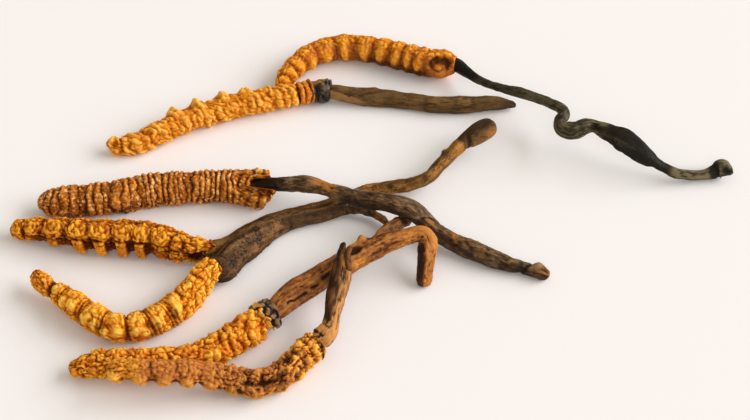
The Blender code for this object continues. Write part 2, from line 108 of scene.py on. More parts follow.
STALKS = {
    "stalk_1": ("larva_1", [
        (17.8, 33.7, 3.9, 0.95, 1), (20, 30.9, 4.4, 0.8, 1), (23.9, 27.8, 5.2, 0.86, 1),
        (28.5, 25.1, 6, 1.0, 1), (32.6, 22.1, 6.6, 0.98, 1), (34.6, 20.6, 6.8, 1.0, 1),
        (35.5, 18.8, 6.7, 1.08, 1), (34.6, 16.8, 6.6, 1.16, 1), (34.9, 14.9, 6.6, 1.26, 1),
        (36.1, 14.2, 6.7, 1.34, 0.9), (37.6, 14.3, 6.9, 1.36, 0.85), (39.2, 14.8, 7.3, 1.28, 0.8),
        (40.9, 14.7, 7.4, 1.2, 0.7), (43.2, 13.1, 7.3, 1.66, 0.5), (46.4, 11.2, 6.5, 2.06, 0.42),
        (49.5, 9.5, 5.2, 1.72, 0.5), (52.2, 8.4, 3.6, 1.2, 0.6), (55, 7.8, 2.2, 1.05, 0.8),
        (58, 7.6, 1.6, 1.0, 1), (61.0, 8, 1.3, 0.98, 1), (62.7, 8.3, 1.5, 1.3, 0.9),
        (64.0, 8.8, 1.9, 1.7, 0.9), (65.2, 8.2, 2.0, 1.0, 0.9), (66.4, 7.7, 2.0, 0.3, 0.9),
    ]),
    "stalk_2": ("head_2", [
        (-4.2, 29.5, 1.8, 1.73, 0.9), (1, 29, 1.5, 1.73, 0.9), (6.7, 28.1, 1.4, 1.58, 0.95),
        (12.5, 27, 1.5, 1.65, 0.9), (17.9, 27.1, 1.5, 1.61, 0.9), (22.5, 27.7, 1.4, 1.4, 0.9),
        (25.9, 27.5, 1.2, 1.2, 1), (27.1, 27.2, 1.1, 0.78, 1),
    ]),
    "stalk_3": ("larva_3", [
        (-18.3, 2.9, 3.7, 1.32, 1), (-13.1, 2.1, 4.6, 1.61, 0.9), (-9.6, 0.9, 4.8, 1.35, 0.9),
        (-6, -0.8, 4.9, 1.38, 0.9), (-1.6, -2.8, 5.4, 1.6, 0.9), (3.6, -4.5, 5.9, 1.68, 0.9),
        (6.7, -5.6, 5.2, 1.7, 0.9), (8.8, -6.7, 4, 1.5, 0.9), (11.1, -8.4, 2.9, 1.42, 1),
        (14.3, -10.3, 2.1, 1.66, 0.9), (19.6, -13.3, 1.8, 1.7, 0.9), (24, -15.1, 1.4, 1.4, 1),
        (27.2, -16.0, 1.2, 1.15, 1), (29.3, -16.8, 1.2, 1.26, 1), (30.9, -17.6, 1.1, 0.85, 1),
    ]),
    "stalk_4": ("larva_4", [
        (-26.3, -10.5, 2.3, 1.13, 1), (-21.9, -6.1, 1.8, 1.05, 1), (-17.1, -3.1, 1.5, 1.06, 1),
        (-11.7, -1.2, 1.4, 1.08, 1), (-6.2, 1.2, 1.4, 1.1, 1), (-1.8, 3.4, 1.6, 1.15, 1),
        (2.4, 4.1, 1.8, 1.2, 1), (6.8, 4.3, 2.4, 1.24, 1), (9.8, 5.6, 3, 1.22, 1),
        (12.1, 8.2, 3.6, 1.2, 1), (14.4, 11.2, 4, 1.22, 1), (17.1, 13.9, 4.5, 1.5, 1),
        (19.6, 15.9, 4.9, 1.86, 0.9), (21.4, 17.2, 5, 1.66, 0.9), (22.3, 17.9, 5, 0.85, 0.9),
    ]),
    "stalk_5": ("larva_5", [
        (-26.9, -17.4, 2.6, 2.1, 0.6), (-24.4, -13.6, 2.4, 2.35, 0.6), (-21.5, -9.9, 2, 2.2, 0.6),
        (-18.9, -7.0, 1.7, 1.75, 0.7), (-16.5, -5.3, 1.5, 1.45, 0.8),
        (-13.4, -4.0, 1.4, 1.3, 0.9), (-8.9, -2.5, 1.3, 1.2, 0.95), (-4.6, -1.1, 1.3, 0.84, 1),
        (-0.9, -1.9, 1.3, 0.72, 1), (1.2, -3.2, 1.2, 0.68, 1), (2.4, -4.7, 1.1, 0.5, 1),
    ]),
    "stalk_6": ("head_6", [
        (-14.4, -25.0, 4.2, 2.3, 0.9), (-9.6, -21.4, 4.5, 2.28, 0.9),
        (-5.3, -18.3, 5.1, 2.16, 0.9), (-0.9, -15.8, 5.7, 1.99, 0.9),
        (3.2, -13.7, 6.2, 1.77, 0.9), (6.2, -12.7, 6.4, 1.48, 0.9), (8.1, -12.4, 6.5, 1.46, 0.9),
        (9.1, -13.1, 5.7, 1.52, 0.9), (9.1, -14.7, 4.3, 1.58, 0.9), (8.9, -16.9, 2.6, 1.54, 0.9),
        (8.7, -18.7, 1.3, 1.32, 0.9), (8.6, -20.0, 0.9, 0.8, 1),
    ]),
    "stalk_7": ("larva_7", [
        (-8.7, -34.3, 3.9, 1.85, 0.9), (-7.8, -32.4, 4.6, 1.52, 0.9),
        (-7.3, -30.1, 5.6, 1.58, 0.9), (-6.6, -27.1, 6.7, 1.68, 0.9), (-6, -24.1, 7.7, 1.72, 0.9),
        (-5.9, -21.4, 8.3, 1.3, 0.9), (-5.7, -18.9, 8.6, 0.82, 1), (-5.4, -16.7, 8.7, 0.35, 1),
    ]),
    "stalk_6_branch": (None, [
        (-0.4, -14.3, 5.5, 0.95, 1), (0.7, -12.4, 5.0, 1.2, 1), (2.0, -10.1, 4.3, 1.36, 1),
        (3.4, -7.6, 3.4, 1.3, 1), (4.9, -5.4, 2.5, 1.15, 1), (6.5, -4.6, 2, 1, 1),
    ]),
    "stalk_7_branch": (None, [
        (-4.5, -23.6, 8.7, 0.6, 1), (-4.7, -21.7, 9.1, 0.6, 1), (-4.7, -19.7, 9.1, 0.56, 1),
        (-4.3, -17.9, 8.8, 0.4, 1),
    ]),
}
print("routes:", len(LARVAE), "larvae,", len(HEADS), "heads,", len(STALKS), "stalks")

# %% [markdown]
# ## A smooth line through the points
# Straight spans between the points would show as corners. A curve that passes through every point
# keeps the thickness that was written down, which a curve pulled towards its handles wouldn't.
# The line is cut into short steps and measured, so that a wrinkle can later be placed by its
# distance from the tail. Every cross-section needs a fixed start for its angles. Here angle 0
# faces the viewer's side, between the front and the top, -90 is the far edge and 90 the near edge
# of a piece that runs from left to right.

# %% A route with a thickness
MM = 0.001
SPAN_STEPS = 14  # short steps between two points of a route
HALF_STEP = 0.5  # mm each way, over which the direction of a route is taken
FACING = np.array((0.0, -1.0, 1.0)) / math.sqrt(2)


class Route:
    """A smooth line through points of x, y, z, radius and flatness, measured along its length."""

    def __init__(self, points):
        points = np.array([(*p, 1.0)[:5] for p in points])
        ends = [2 * points[0] - points[1], *points, 2 * points[-1] - points[-2]]
        t = np.arange(SPAN_STEPS)[:, None] / SPAN_STEPS
        spans = []
        for a, b, c, d in zip(ends, ends[1:], ends[2:], ends[3:]):  # the span runs from b to c
            bend = (2 * a - 5 * b + 4 * c - d) * t**2 + (3 * b - a - 3 * c + d) * t**3
            spans.append(0.5 * (2 * b + (c - a) * t + bend))
        self.line = np.vstack([*spans, points[-1:]])
        steps = np.linalg.norm(np.diff(self.line[:, :3], axis=0), axis=1)
        self.at = np.concatenate([[0.0], np.cumsum(steps)])
        self.length = self.at[-1]

    def values(self, s):
        """Everything that the points hold, at the distances s."""
        return np.stack([np.interp(s, self.at, column) for column in self.line.T], axis=-1)

    def frame(self, s):
        """The middle at s, the way along, and the directions of angle 0 and angle 90."""
        inside = np.clip(s, 0.0, self.length)
        ahead, behind = self.values(inside + HALF_STEP), self.values(inside - HALF_STEP)
        along = (ahead - behind)[..., :3]
        along /= np.linalg.norm(along, axis=-1, keepdims=True)
        front = FACING - (along @ FACING)[..., None] * along
        front /= np.linalg.norm(front, axis=-1, keepdims=True)
        middle = self.values(inside)[..., :3] + along * (s - inside)[..., None]
        return middle, along, front, np.cross(along, front)


routes = {name: Route(points) for name, points in LARVAE.items()}
for name, route in routes.items():
    print(name, "is", round(route.length, 1), "mm long")

# %% [markdown]
# ## Where a stalk starts
# A stalk grows from the middle of a head, straight out of it before it bends. Three extra points
# ahead of its own set its root into the head. Two larvae have a black head shell between body and
# stalk, and that shell is rooted in the body in the same way.

# %% Root the heads and stalks
ROOTS = (-1.0, -0.2, 0.5)  # mm from the rim of the mouth, less than 0 inside it
BEFORE_RIM = 0.6  # mm before the end of a body, where its direction is taken
NECK = 0.8  # the thinnest that a root may be, as a share of the radius that follows


def mouth_of(name, inner):
    """The middle of a piece's open end, the way out of it, and the radius of the hole in it."""
    route = routes[name]
    end = np.array(route.length)
    return route.frame(end)[0], route.frame(end - BEFORE_RIM)[1], inner


def rooted(mouth, points):
    """The points of a piece with three more ahead of them, which set it straight into a head."""
    rim, along, inner = mouth
    neck = max(min(inner, points[0][3]), NECK * points[0][3])
    return [(*(rim + along * far), neck, *points[0][4:]) for far in ROOTS] + points


mouths = {name: mouth_of(name, inner) for name, inner in MOUTHS.items()}
for name, (grows_from, points, inner) in HEADS.items():
    routes[name] = Route(rooted(mouths[grows_from], points))
    mouths[name] = mouth_of(name, inner)
for name, (grows_from, points) in STALKS.items():
    routes[name] = Route(rooted(mouths[grows_from], points) if grows_from else points)
print("longest stalk", round(max(routes[name].length for name in STALKS), 1), "mm")

# %% [markdown]
# ## A sheet, rolled into a tube
# The skins need thousands of small folds that follow a bent body. Sculpting them by hand would be
# slow, and a texture that pushes points about would not know where the rings are. So each skin
# starts as a flat grid, like a sheet of paper: one side of the sheet is the way along the piece,
# the other is the way round it. On a flat sheet a fold is easy to place. Once it is rolled round
# its route, its seam and its two ends are merged in edit mode, which makes it one closed skin.

# %% A blank sheet
SAME_PLACE = 1e-6  # metres


def sheet(name, rows, columns):
    """A flat grid, with its points in order: row by row along it, and within a row round it."""
    bpy.ops.object.select_all(action="DESELECT")
    bpy.ops.mesh.primitive_grid_add(
        x_subdivisions=rows, y_subdivisions=columns, size=2, calc_uvs=False
    )
    piece = bpy.context.object
    piece.name = piece.data.name = name
    flat = np.empty(len(piece.data.vertices) * 3)
    piece.data.vertices.foreach_get("co", flat)
    x, y, _ = flat.reshape(-1, 3).round(6).T
    return piece, np.lexsort((y, x)).reshape(len(np.unique(x)), len(np.unique(y)))


def note(piece, name, kind, values):
    """Keeps a value at every point, for the materials to read."""
    layer = piece.data.attributes.new(name, kind, "POINT")
    layer.data.foreach_set("vector" if kind == "FLOAT_VECTOR" else "value", values.ravel())


def close_up():
    """Merges the seam and the two ends of the sheet just rolled, and turns its faces outwards."""
    bpy.ops.object.mode_set(mode="EDIT")
    bpy.ops.mesh.select_all(action="SELECT")
    bpy.ops.mesh.remove_doubles(threshold=SAME_PLACE)
    bpy.ops.mesh.normals_make_consistent(inside=False)
    bpy.ops.object.mode_set(mode="OBJECT")
    bpy.ops.object.shade_smooth()


print("points closer than", SAME_PLACE, "m become one")

# %% [markdown]
# ## Rolling it up
# The skin is asked for the height of every point, and the points are set round the route. Three
# values stay with each point for the colours. One of them is the relief: how far a point stands
# above the skin around it, near by and farther off. It is the height less a blurred copy of the
# heights, so that a crease on top of a lobe is still a crease.

# %% Roll up a sheet
NEAR, FAR = 4, 14  # points each way that count as the skin around a point
FAR_SHARE = 2.5  # how much weaker the wide surroundings count than the near ones
TEAR_LENGTH = 3.5  # mm of the body that a torn rim pulls along with it


def softened(field, reach):
    """The field averaged over so many points each way. It joins up across the seam."""
    turn = field[:, :-1]
    turn = sum(np.roll(turn, k, axis=1) for k in range(-reach, reach + 1)) / (2 * reach + 1)
    padded = np.pad(turn, ((reach, reach), (0, 0)), mode="edge")
    turn = sum(padded[k : k + len(field)] for k in range(2 * reach + 1)) / (2 * reach + 1)
    return np.hstack([turn, turn[:, :1]])


def roll_up(name, route, s, radius, kept, columns, skin, torn=None, contrast=0.7):
    """One closed piece. s, radius and kept hold a value per row; kept is the share of the height
    that is left there. skin gives the height in mm, the stain (real stains together with painted
    shade) and the blush of every point, and torn how far the rim stands out at each angle.
    contrast is the height in mm between a full crease and a full top."""
    piece, order = sheet(name, len(s) - 1, columns)
    turns = np.linspace(-180.0, 180.0, columns + 1)
    far, angle = np.meshgrid(s, turns, indexing="ij")
    around = np.repeat(radius[:, None], columns + 1, axis=1)
    height, stain, blush = skin(far, angle, around)
    height = height * kept[:, None]
    middle, along, front, side = (part[:, None] for part in route.frame(s))
    flat = route.values(s)[:, 4][:, None, None]
    cos, sin = np.cos(np.radians(angle))[..., None], np.sin(np.radians(angle))[..., None]
    out = np.maximum(around + height, 0.0)[..., None]
    out[radius == 0] = 0.0
    points = middle + front * out * cos * flat + side * out * sin
    if torn:
        near_rim = smooth((far - route.length + TEAR_LENGTH) / TEAR_LENGTH)
        points = points + along * (torn(angle) * near_rim)[..., None]
    points[..., 2] = np.maximum(points[..., 2], 0.0)
    placed = np.empty((points.shape[0] * points.shape[1], 3))
    placed[order] = points * MM
    piece.data.vertices.foreach_set("co", placed.ravel())
    piece.data.update()
    near, wide = (height - softened(height, reach) for reach in (NEAR, FAR))
    relief = 0.5 + near / contrast + wide / (FAR_SHARE * contrast)
    for layer, field in (("relief", relief), ("stain", stain), ("blush", blush)):
        kept_there = np.empty(field.size)
        kept_there[order] = np.clip(field, 0.0, 1.0)
        note(piece, layer, "FLOAT", kept_there)
    straight = np.empty((field.size, 3))
    straight[order] = np.stack([far, around * cos[..., 0], around * sin[..., 0]], axis=-1)
    note(piece, "straight", "FLOAT_VECTOR", straight)
    close_up()
    print(name, len(piece.data.polygons), "faces")
    return piece


print("the skin around a point reaches", NEAR, "and", FAR, "points each way")

# %% [markdown]
# ## Soft unevenness
# Nothing on a dried larva is regular, yet nothing is random either: folds repeat, but wander.
# Wandering needs soft random values. A table of random numbers is laid over the skin in cells,
# and the values in between are blended. It joins up across the seam, because it counts round the
# piece in whole cells. A seed picks the table, so each run gives the same skin. `patches` varies
# both ways, `drift` only along the piece and `rim_rags` only round it.

# %% Patches
TABLE_ROWS = 97  # cells along a piece before the random values repeat


def smooth(x):
    """0 below 0 and 1 above 1, with a soft step between."""
    x = np.clip(x, 0.0, 1.0)
    return x * x * (3 - 2 * x)


def round_cells(angle, around):
    """The way round in cells: so many of them to a full turn."""
    return (angle + 180.0) / 360.0 * around


def cloudy_field(u, v, around, seed):
    """Soft random values from -1 to 1 that change from cell to cell, and repeat after around."""
    table = np.random.default_rng(seed).random((TABLE_ROWS, around)) * 2 - 1
    i, j = np.floor(u).astype(int), np.floor(v).astype(int)
    x, y = smooth(u - i), smooth(v - j)

    def at(di, dj):
        return table[(i + di) % TABLE_ROWS, (j + dj) % around]

    return (at(0, 0) * (1 - x) + at(1, 0) * x) * (1 - y) + (at(0, 1) * (1 - x) + at(1, 1) * x) * y


def patches(s, angle, size, around, seed):
    """Soft patches on a skin: size is their length in mm, around how many go round the piece."""
    return cloudy_field(s / size, round_cells(angle, around), around, seed)


def drift(s, size, seed):
    """Soft random values that change only along the piece."""
    return cloudy_field(s / size, 0 * s, 3, seed)


def rim_rags(angle, around, seed):
    """Soft random values that change only round the piece, for ragged rims."""
    return cloudy_field(0 * angle, round_cells(angle, around), around, seed)


three = np.array([0.2, 1.4, 2.8]), np.array([-120, 0, 120])
print("patches at three places:", patches(*three, 1, 3, 1).round(2))

# %% [markdown]
# ## Grains and folds
# `crumbs` splits the skin into uneven grains with creases between them, each with a height of its
# own: every cell holds one middle, and a point belongs to the nearest. Where the nearest two are
# equally far lies a crease. `ridge` turns a count of folds into rounded tops with sharp creases,
# and `swirls` winds such folds about like those of a walnut, by counting along the contours of
# soft patches.

# %% Crumbs, ridges and swirls
SHIFT = 0.32  # how far the edges of the grains wander, in cells
UNEVEN = 0.85  # how far a grain's middle may lie from the middle of its cell


def crumbs(s, angle, size, around, seed, valley=0.6, tilt=0.9):
    """Uneven grains, one to a cell: the height from about 0 to 1, and each grain's own value.
    valley is how wide the creases are, tilt how far the top of a grain may lean."""
    u, v = s / size, round_cells(angle, around)
    table = np.random.default_rng(seed).random((TABLE_ROWS, around, 6))
    shift_u = SHIFT * cloudy_field(2 * u, 2 * v, 2 * around, seed + 500)
    shift_v = SHIFT * cloudy_field(2 * u + 50, 2 * v, 2 * around, seed + 501)
    u, v = u + shift_u, v + shift_v
    i, j = np.floor(u).astype(int), np.floor(v).astype(int)
    nearest = second = np.full(u.shape, 9.0)
    own = top = np.zeros(u.shape)
    for di in (-1, 0, 1):
        for dj in (-1, 0, 1):
            cell = table[(i + di) % TABLE_ROWS, (j + dj) % around]
            x = i + di + 0.5 + UNEVEN * (cell[..., 0] - 0.5) - u
            y = j + dj + 0.5 + UNEVEN * (cell[..., 1] - 0.5) - v
            far = np.hypot(x, y)
            closer = far < nearest
            second = np.where(closer, nearest, np.minimum(second, far))
            own = np.where(closer, cell[..., 2], own)
            leaning = tilt * ((cell[..., 4] - 0.5) * x + (cell[..., 5] - 0.5) * y)
            top = np.where(closer, 0.4 + 0.35 * cell[..., 3] + leaning, top)
            nearest = np.where(closer, far, nearest)
    crease = np.clip((second - nearest) / valley, 0.0, 1.0) ** 0.7
    return crease * np.clip(top + 0.25 * (1 - np.clip(nearest, 0, 1) ** 2), 0.1, 1.1), own


def ridge(count, sharp=2.4):
    """Folds: 1 along the top of each and 0 in the crease between two."""
    return 1 - np.abs(2 * (count % 1.0) - 1) ** sharp


def swirls(s, angle, size, around, seed, folds):
    """Winding folds that follow the contours of a soft random field."""
    finer = patches(s, angle, size / 2, 2 * around, seed + 1)
    return ridge(folds * (patches(s, angle, size, around, seed) + 0.45 * finer), 1.7)


print("across one fold:", ridge(np.linspace(0, 1, 5), 2.0).round(2))

# %% [markdown]
# ## One form at one place
# A foot, a knob, a pit or a stain sits at one place of one piece: at a distance from its tail or
# root, and at an angle round it. `lump` makes one, and `lumps` many from a table, so that each
# piece's forms can be read and moved like entries in a list. `line` and `window` mark a stretch
# in the same way.

# %% Lumps, lines and windows


def turned(angle, centre):
    """The angle from centre, the short way round."""
    return (angle - centre + 180.0) % 360.0 - 180.0


def away(s, angle, r, where, turn, size, round_size):
    """How far each point is from one place on the skin, in lump sizes."""
    sideways = np.radians(turned(angle, turn)) * np.maximum(r, 1.0)
    return np.hypot((s - where) / size, sideways / round_size)


def lump(s, angle, r, where, turn, size, round_size=None, steep=1.0):
    """A swelling at one place: 1 in its middle. If steep, it has a flat top and a clear edge."""
    return np.exp(-away(s, angle, r, where, turn, size, round_size or size) ** (2 * steep))


def lumps(s, angle, r, table):
    """Many swellings and dents. Each row says how high in mm, and then what lump asks for."""
    return sum(rise * lump(s, angle, r, *form) for rise, *form in table)


def line(angle, r, turn, width):
    """A mark that runs lengthwise at the angle turn: 1 in its middle."""
    return np.exp(-((np.radians(turned(angle, turn)) * r / width) ** 2))


def window(x, start, end, soft):
    """1 between start and end, fading over soft on both sides."""
    return smooth((x - start) / soft + 0.5) * smooth((end - x) / soft + 0.5)


def rounded_end(s, size):
    """The share of the full radius at distance s from a rounded end."""
    return np.sqrt(1 - (1 - np.clip(s / size, 0.0, 1.0)) ** 2)


print("across one window:", window(np.linspace(0, 10, 5), 2, 8, 2).round(2))

# %% [markdown]
# ## From a skin to a larva
# Every larva has the same build: a rounded tail, a body, and an open head end that the stalk
# comes out of. The rows run up the outside, over the rim and a little way down inside, and close
# there, where the stalk hides it. What differs is the skin, and each larva gets its own.

# %% Build a larva
GRID = 0.135  # mm between two rows
BODY_COLUMNS = 128  # points round a body
LIP_ROWS = 16  # rows over the rim and down inside
TAPER, CAP = 2.2, 0.5  # mm over which a tail narrows, and over which it closes
pieces = {}


def rim_steps(*stretches):
    """How far each row of a turned-in rim has come, from 0 to 1: over it, down it, and across."""
    t = np.linspace(0.0, 1.0, LIP_ROWS + 1)[1:]
    return [np.clip((t - start) / share, 0, 1) for start, share in stretches]


def larva(name, skin, torn=None, wall=None, depth=1.2):
    """One larva. wall is how thick a torn rim is, where it stands away from the stalk, and depth
    how far the skin runs down inside, both in mm."""
    route = routes[name]
    s = np.linspace(0.0, route.length, round(route.length / GRID))
    radius = route.values(s)[:, 3] * (0.35 + 0.65 * rounded_end(s, TAPER)) * rounded_end(s, CAP)
    kept = smooth(s / CAP)
    rim, inner = radius[-1], MOUTHS[name] - 0.1
    over, down, across = rim_steps((0, 0.3), (0.3, 0.4), (0.7, 0.3))
    edge = rim - wall if wall else inner
    lip = (rim + (edge - rim) * over + (inner - edge) * down) * (1 - across)
    s = np.concatenate([s, route.length + 0.3 * np.sin(math.pi * over) - depth * down])
    radius = np.concatenate([radius, lip])
    radius[0] = radius[-1] = 0.0
    kept = np.concatenate([kept, (1 - over) if not wall else 1 - 0.6 * down])
    pieces[name] = roll_up(name, route, s, radius, kept, BODY_COLUMNS, skin, torn)


def segment(s, creases):
    """Which segment each point lies in, and where in it: 0 at one crease, 1 at the next."""
    return np.interp(s, creases, np.arange(len(creases)))


print("a larva has about", round(routes["larva_1"].length / GRID) + LIP_ROWS, "rows of points")

# %% [markdown]
# ## The first larva: smooth swollen segments
# The uppermost larva lies on its side, so its segments show from the flank. They are large and
# smooth: each is a knot on the back with a drop-shaped lobe under it, and the gap between two
# lower lobes is painted dark as shade, as is the lower side of the head half. Towards the head
# the segments get closer and their lower ends fold. The head end has a sunken dark face. The
# bands are a count of segments through `ridge`, and the lobes are steep lumps, one for each
# segment.

# %% Larva 1
FIRST_CREASES = [0, 2.2, 4.9, 7.7, 11.5, 15.9, 20.2, 24.2, 27.7, 30.6, 33.0, 35.3, 40.6, 43]
FIRST_LOBES = [  # where, at what angle, how long, how wide and how high
    (1.3, 10, 1.0, 1.2, 0.30), (3.5, 8, 1.0, 1.5, 0.42), (6.3, 18, 1.05, 1.6, 0.40),
    (9.3, 48, 1.5, 1.8, 0.58), (13.4, 34, 1.45, 2.1, 0.60), (18.1, 26, 1.15, 2.1, 0.55),
    (22.2, 22, 1.1, 1.9, 0.55), (26.0, 18, 1.05, 1.9, 0.48), (29.2, 18, 0.95, 1.7, 0.42),
    (31.9, 20, 0.75, 1.6, 0.36), (34.2, 24, 0.7, 1.5, 0.32),
]
FIRST_KNOTS = [  # where and at what angle
    (5.4, -50), (8.4, -38), (11.6, -56), (14.6, -20), (17.7, -38), (20.2, -58), (23.1, -44),
    (26.3, -38), (29.1, -46), (32.0, -44),
]
FIRST_LUMPS = [
    (0.35, 37.4, 22, 0.7, 0.8, 1.3), (-0.35, 38.8, -6, 1.1, 0.8),
]


def first_skin(s, a, r):
    wander = 0.35 * patches(s, a, 2.6, 6, 11) + 0.12 * patches(s, a, 0.9, 14, 14)
    bands = ridge(segment(s + wander, FIRST_CREASES), 1.9)
    low = window(a, -12, 110, 30)
    height = 0.30 * bands - 0.42 - 0.14 * low
    height += lumps(s, a, r, FIRST_LUMPS)
    lobes = 0 * s
    for where, turn, size, tall, rise in FIRST_LOBES:
        narrower = 1.2 - 0.45 * smooth((turned(a, turn) + 30) / 60)
        leaning = where + 0.004 * turned(a, turn) - 0.8 * wander
        drop = np.exp(-(away(s, a, r, leaning, turn, size * narrower, tall) ** 2.8))
        height += (rise + 0.06) * drop
        lobes = np.maximum(lobes, drop)
    for where, turn in FIRST_KNOTS:
        height += 0.34 * lump(s, a, r, where, turn, 1.2, 1.2, 1.2)
    grains, own = crumbs(s, a, 1.6, 11, 13)
    small, own_small = crumbs(s, a, 0.8, 22, 16)
    height += (0.40 - 0.22 * low) * (grains - 0.4) + (0.16 - 0.06 * low) * (small - 0.4)
    between = low * (1 - lobes)
    folds = ridge(segment(s + wander, FIRST_CREASES) * 2 + 0.5, 1.6)
    height += 0.16 * folds * between * smooth((s - 12) / 5)
    face = away(s, a, r, 38.3 + 0.3 * wander, 4, 2.2, 2.0)
    inside = np.exp(-((face / 0.95) ** 4))
    height += 0.22 * np.exp(-((face - 1.15) ** 2) / 0.05) - 0.50 * inside
    dark = lump(s, a, r, 38.5, -10, 1.35, 0.75, 1.2)
    dark += 0.8 * lump(s, a, r, 39.5, 14, 0.6, 1.1, 1.2)
    dark += 0.6 * np.exp(-((face - 0.88) ** 2) / 0.02) * window(s, 34, 37.8, 1)
    shade = smooth(0.5 + patches(s, a, 0.7, 18, 15) * 0.8)
    stain = inside * (0.34 + 0.35 * shade) * (1 - lump(s, a, r, 37.4, 22, 0.7, 0.7)) + 0.8 * dark
    # painted shade: the lower side of the head half is darker
    stain += 0.40 * window(s, 22, 36, 5) * window(a, 42, 125, 26)
    # painted shade in the gaps between the lower lobes
    stain += 0.42 * between * smooth((s - 9) / 5) * window(s, 0, 36.5, 2)
    blush = 0.5 * smooth((own - 0.45) / 0.3) * (1 - 0.7 * low)
    # the same gaps turn to the blush colour, as part of the painted shade
    blush += 0.65 * between * smooth((s - 7) / 5)
    blush += 0.35 * smooth((own_small - 0.65) / 0.2) + 0.5 * window(s, 40.8, 44, 0.8)
    return height, stain, blush


larva("larva_1", first_skin)

# %% [markdown]
# ## The second larva: fine slanted folds and four feet
# This one lies belly up, so its four pairs of feet stand along its upper edge as small cones.
# Fine folds run from each foot down and towards the head. A fold that leans is a count along the
# body that also grows with the angle, so its lines come out slanted. The cones are lumps that
# come to a point.

# %% Larva 2
SECOND_CREASES = [  # mm from the tail
    0, 2.2, 4.4, 8.0, 11.9, 16.8, 21.8, 26.6, 30.2, 33.2, 36.2, 38.9, 40.1, 41.3, 42.5, 44,
]
SECOND_FEET = [14.6, 19.2, 24.5, 28.7]
FOLDS_FROM_FOOT = [(0.7, -52), (1.3, -20), (1.7, 10)]  # mm past the foot, and the angle
SECOND_LUMPS = [
    (0.75, 0.9, -62, 0.9), (0.35, 10.6, -45, 1.9, 1.7, 1.4), (0.55, 32.4, -76, 1.3, 1.4, 1.2),
    (0.3, 35.8, -60, 1.2, 1.2, 1.4),
]


def second_skin(s, a, r):
    leaning = s - 0.014 * a
    wander = 0.55 * patches(s, a, 2.2, 7, 21) + 0.30 * patches(s, a, 1.1, 13, 22)
    near_head = smooth((s - 38.4) / 0.7)
    folds = ridge(leaning / 1.6 + wander, 1.5) * (0.7 + 0.6 * patches(s, a, 1.6, 8, 23))
    upright = leaning * (1 - near_head) + s * near_head + (0.5 + 0.3 * near_head) * wander
    bands = ridge(segment(upright, SECOND_CREASES), 1.8)
    height = 0.36 * folds * (1 - 0.8 * near_head) + (0.26 + 0.04 * near_head) * bands - 0.44
    height += 0.1 * near_head
    height += lumps(s, a, r, SECOND_LUMPS)
    grains, own = crumbs(leaning, a, 1.7, 9, 24)
    height += 0.34 * (grains - 0.4)
    small, own_small = crumbs(leaning, a, 0.8, 20, 27)
    height += 0.13 * (small - 0.4)
    top = window(a, -165, -45, 60)
    for where in SECOND_FEET:
        foot = away(s, a, r, where, -88, 1.1, 1.1)
        height += 0.75 * np.exp(-(((s - where - 0.4) / 1.25) ** 2)) * top
        height += 0.55 * np.clip(1 - foot / 1.1, 0, 1)
        for step, turn in FOLDS_FROM_FOOT:
            height += 0.22 * lump(s, a, r, where + step, turn, 0.9, 1.3, 1.2)
    gap = np.exp(-(((s - 38.8 - 0.4 * wander) / 0.3) ** 2))
    height -= 0.30 * gap
    height -= 0.45 * np.exp(-(((s - 3.0 - 0.004 * a) / 0.4) ** 2)) * window(a, -120, 60, 60)
    hollow = lump(s, a, r, 1.7, 0, 0.7, 1.0)
    # painted shade: darker in the gap and the ring creases near the head, and in the hollow by
    # the tail
    stain = 0.55 * gap + 0.65 * near_head * smooth((0.7 - bands) / 0.4) + 0.45 * hollow
    stain += 0.55 * window(s, 41.2, 44, 0.6) * window(a, -170, 0, 60)
    blush = 0.75 * near_head + 0.30 * smooth((own - 0.55) / 0.3)
    blush += 0.25 * smooth((own_small - 0.7) / 0.2)
    return height - 0.3 * hollow, stain, blush


larva("larva_2", second_skin)

# %% [markdown]
# ## The third larva: cords, and a torn rim
# Its skin is wound with close rings like thin cord, a little wider near the tail. Where the stalk
# comes out, the skin has torn and flares: a long flap below, a shorter one above, and between
# them a cut that shows the stalk. The rings bend with the tear, because the count starts from the
# torn edge there.

# %% Larva 3


def third_tear(a):
    """How far the torn rim stands past the end of the body: two flaps and a cut between."""
    below = 4.7 * window(turned(a, 70), -66, 74, 14) * (1 - 0.55 * smooth(turned(a, 16) / 40))
    above = 2.2 * window(turned(a, -92), -60, 52, 12) + 1.0 * window(turned(a, -56), -18, 16, 12)
    rags = 0.35 * rim_rags(a, 13, 39) + 0.28 * rim_rags(a, 31, 38)
    return below + above + 0.1 + rags


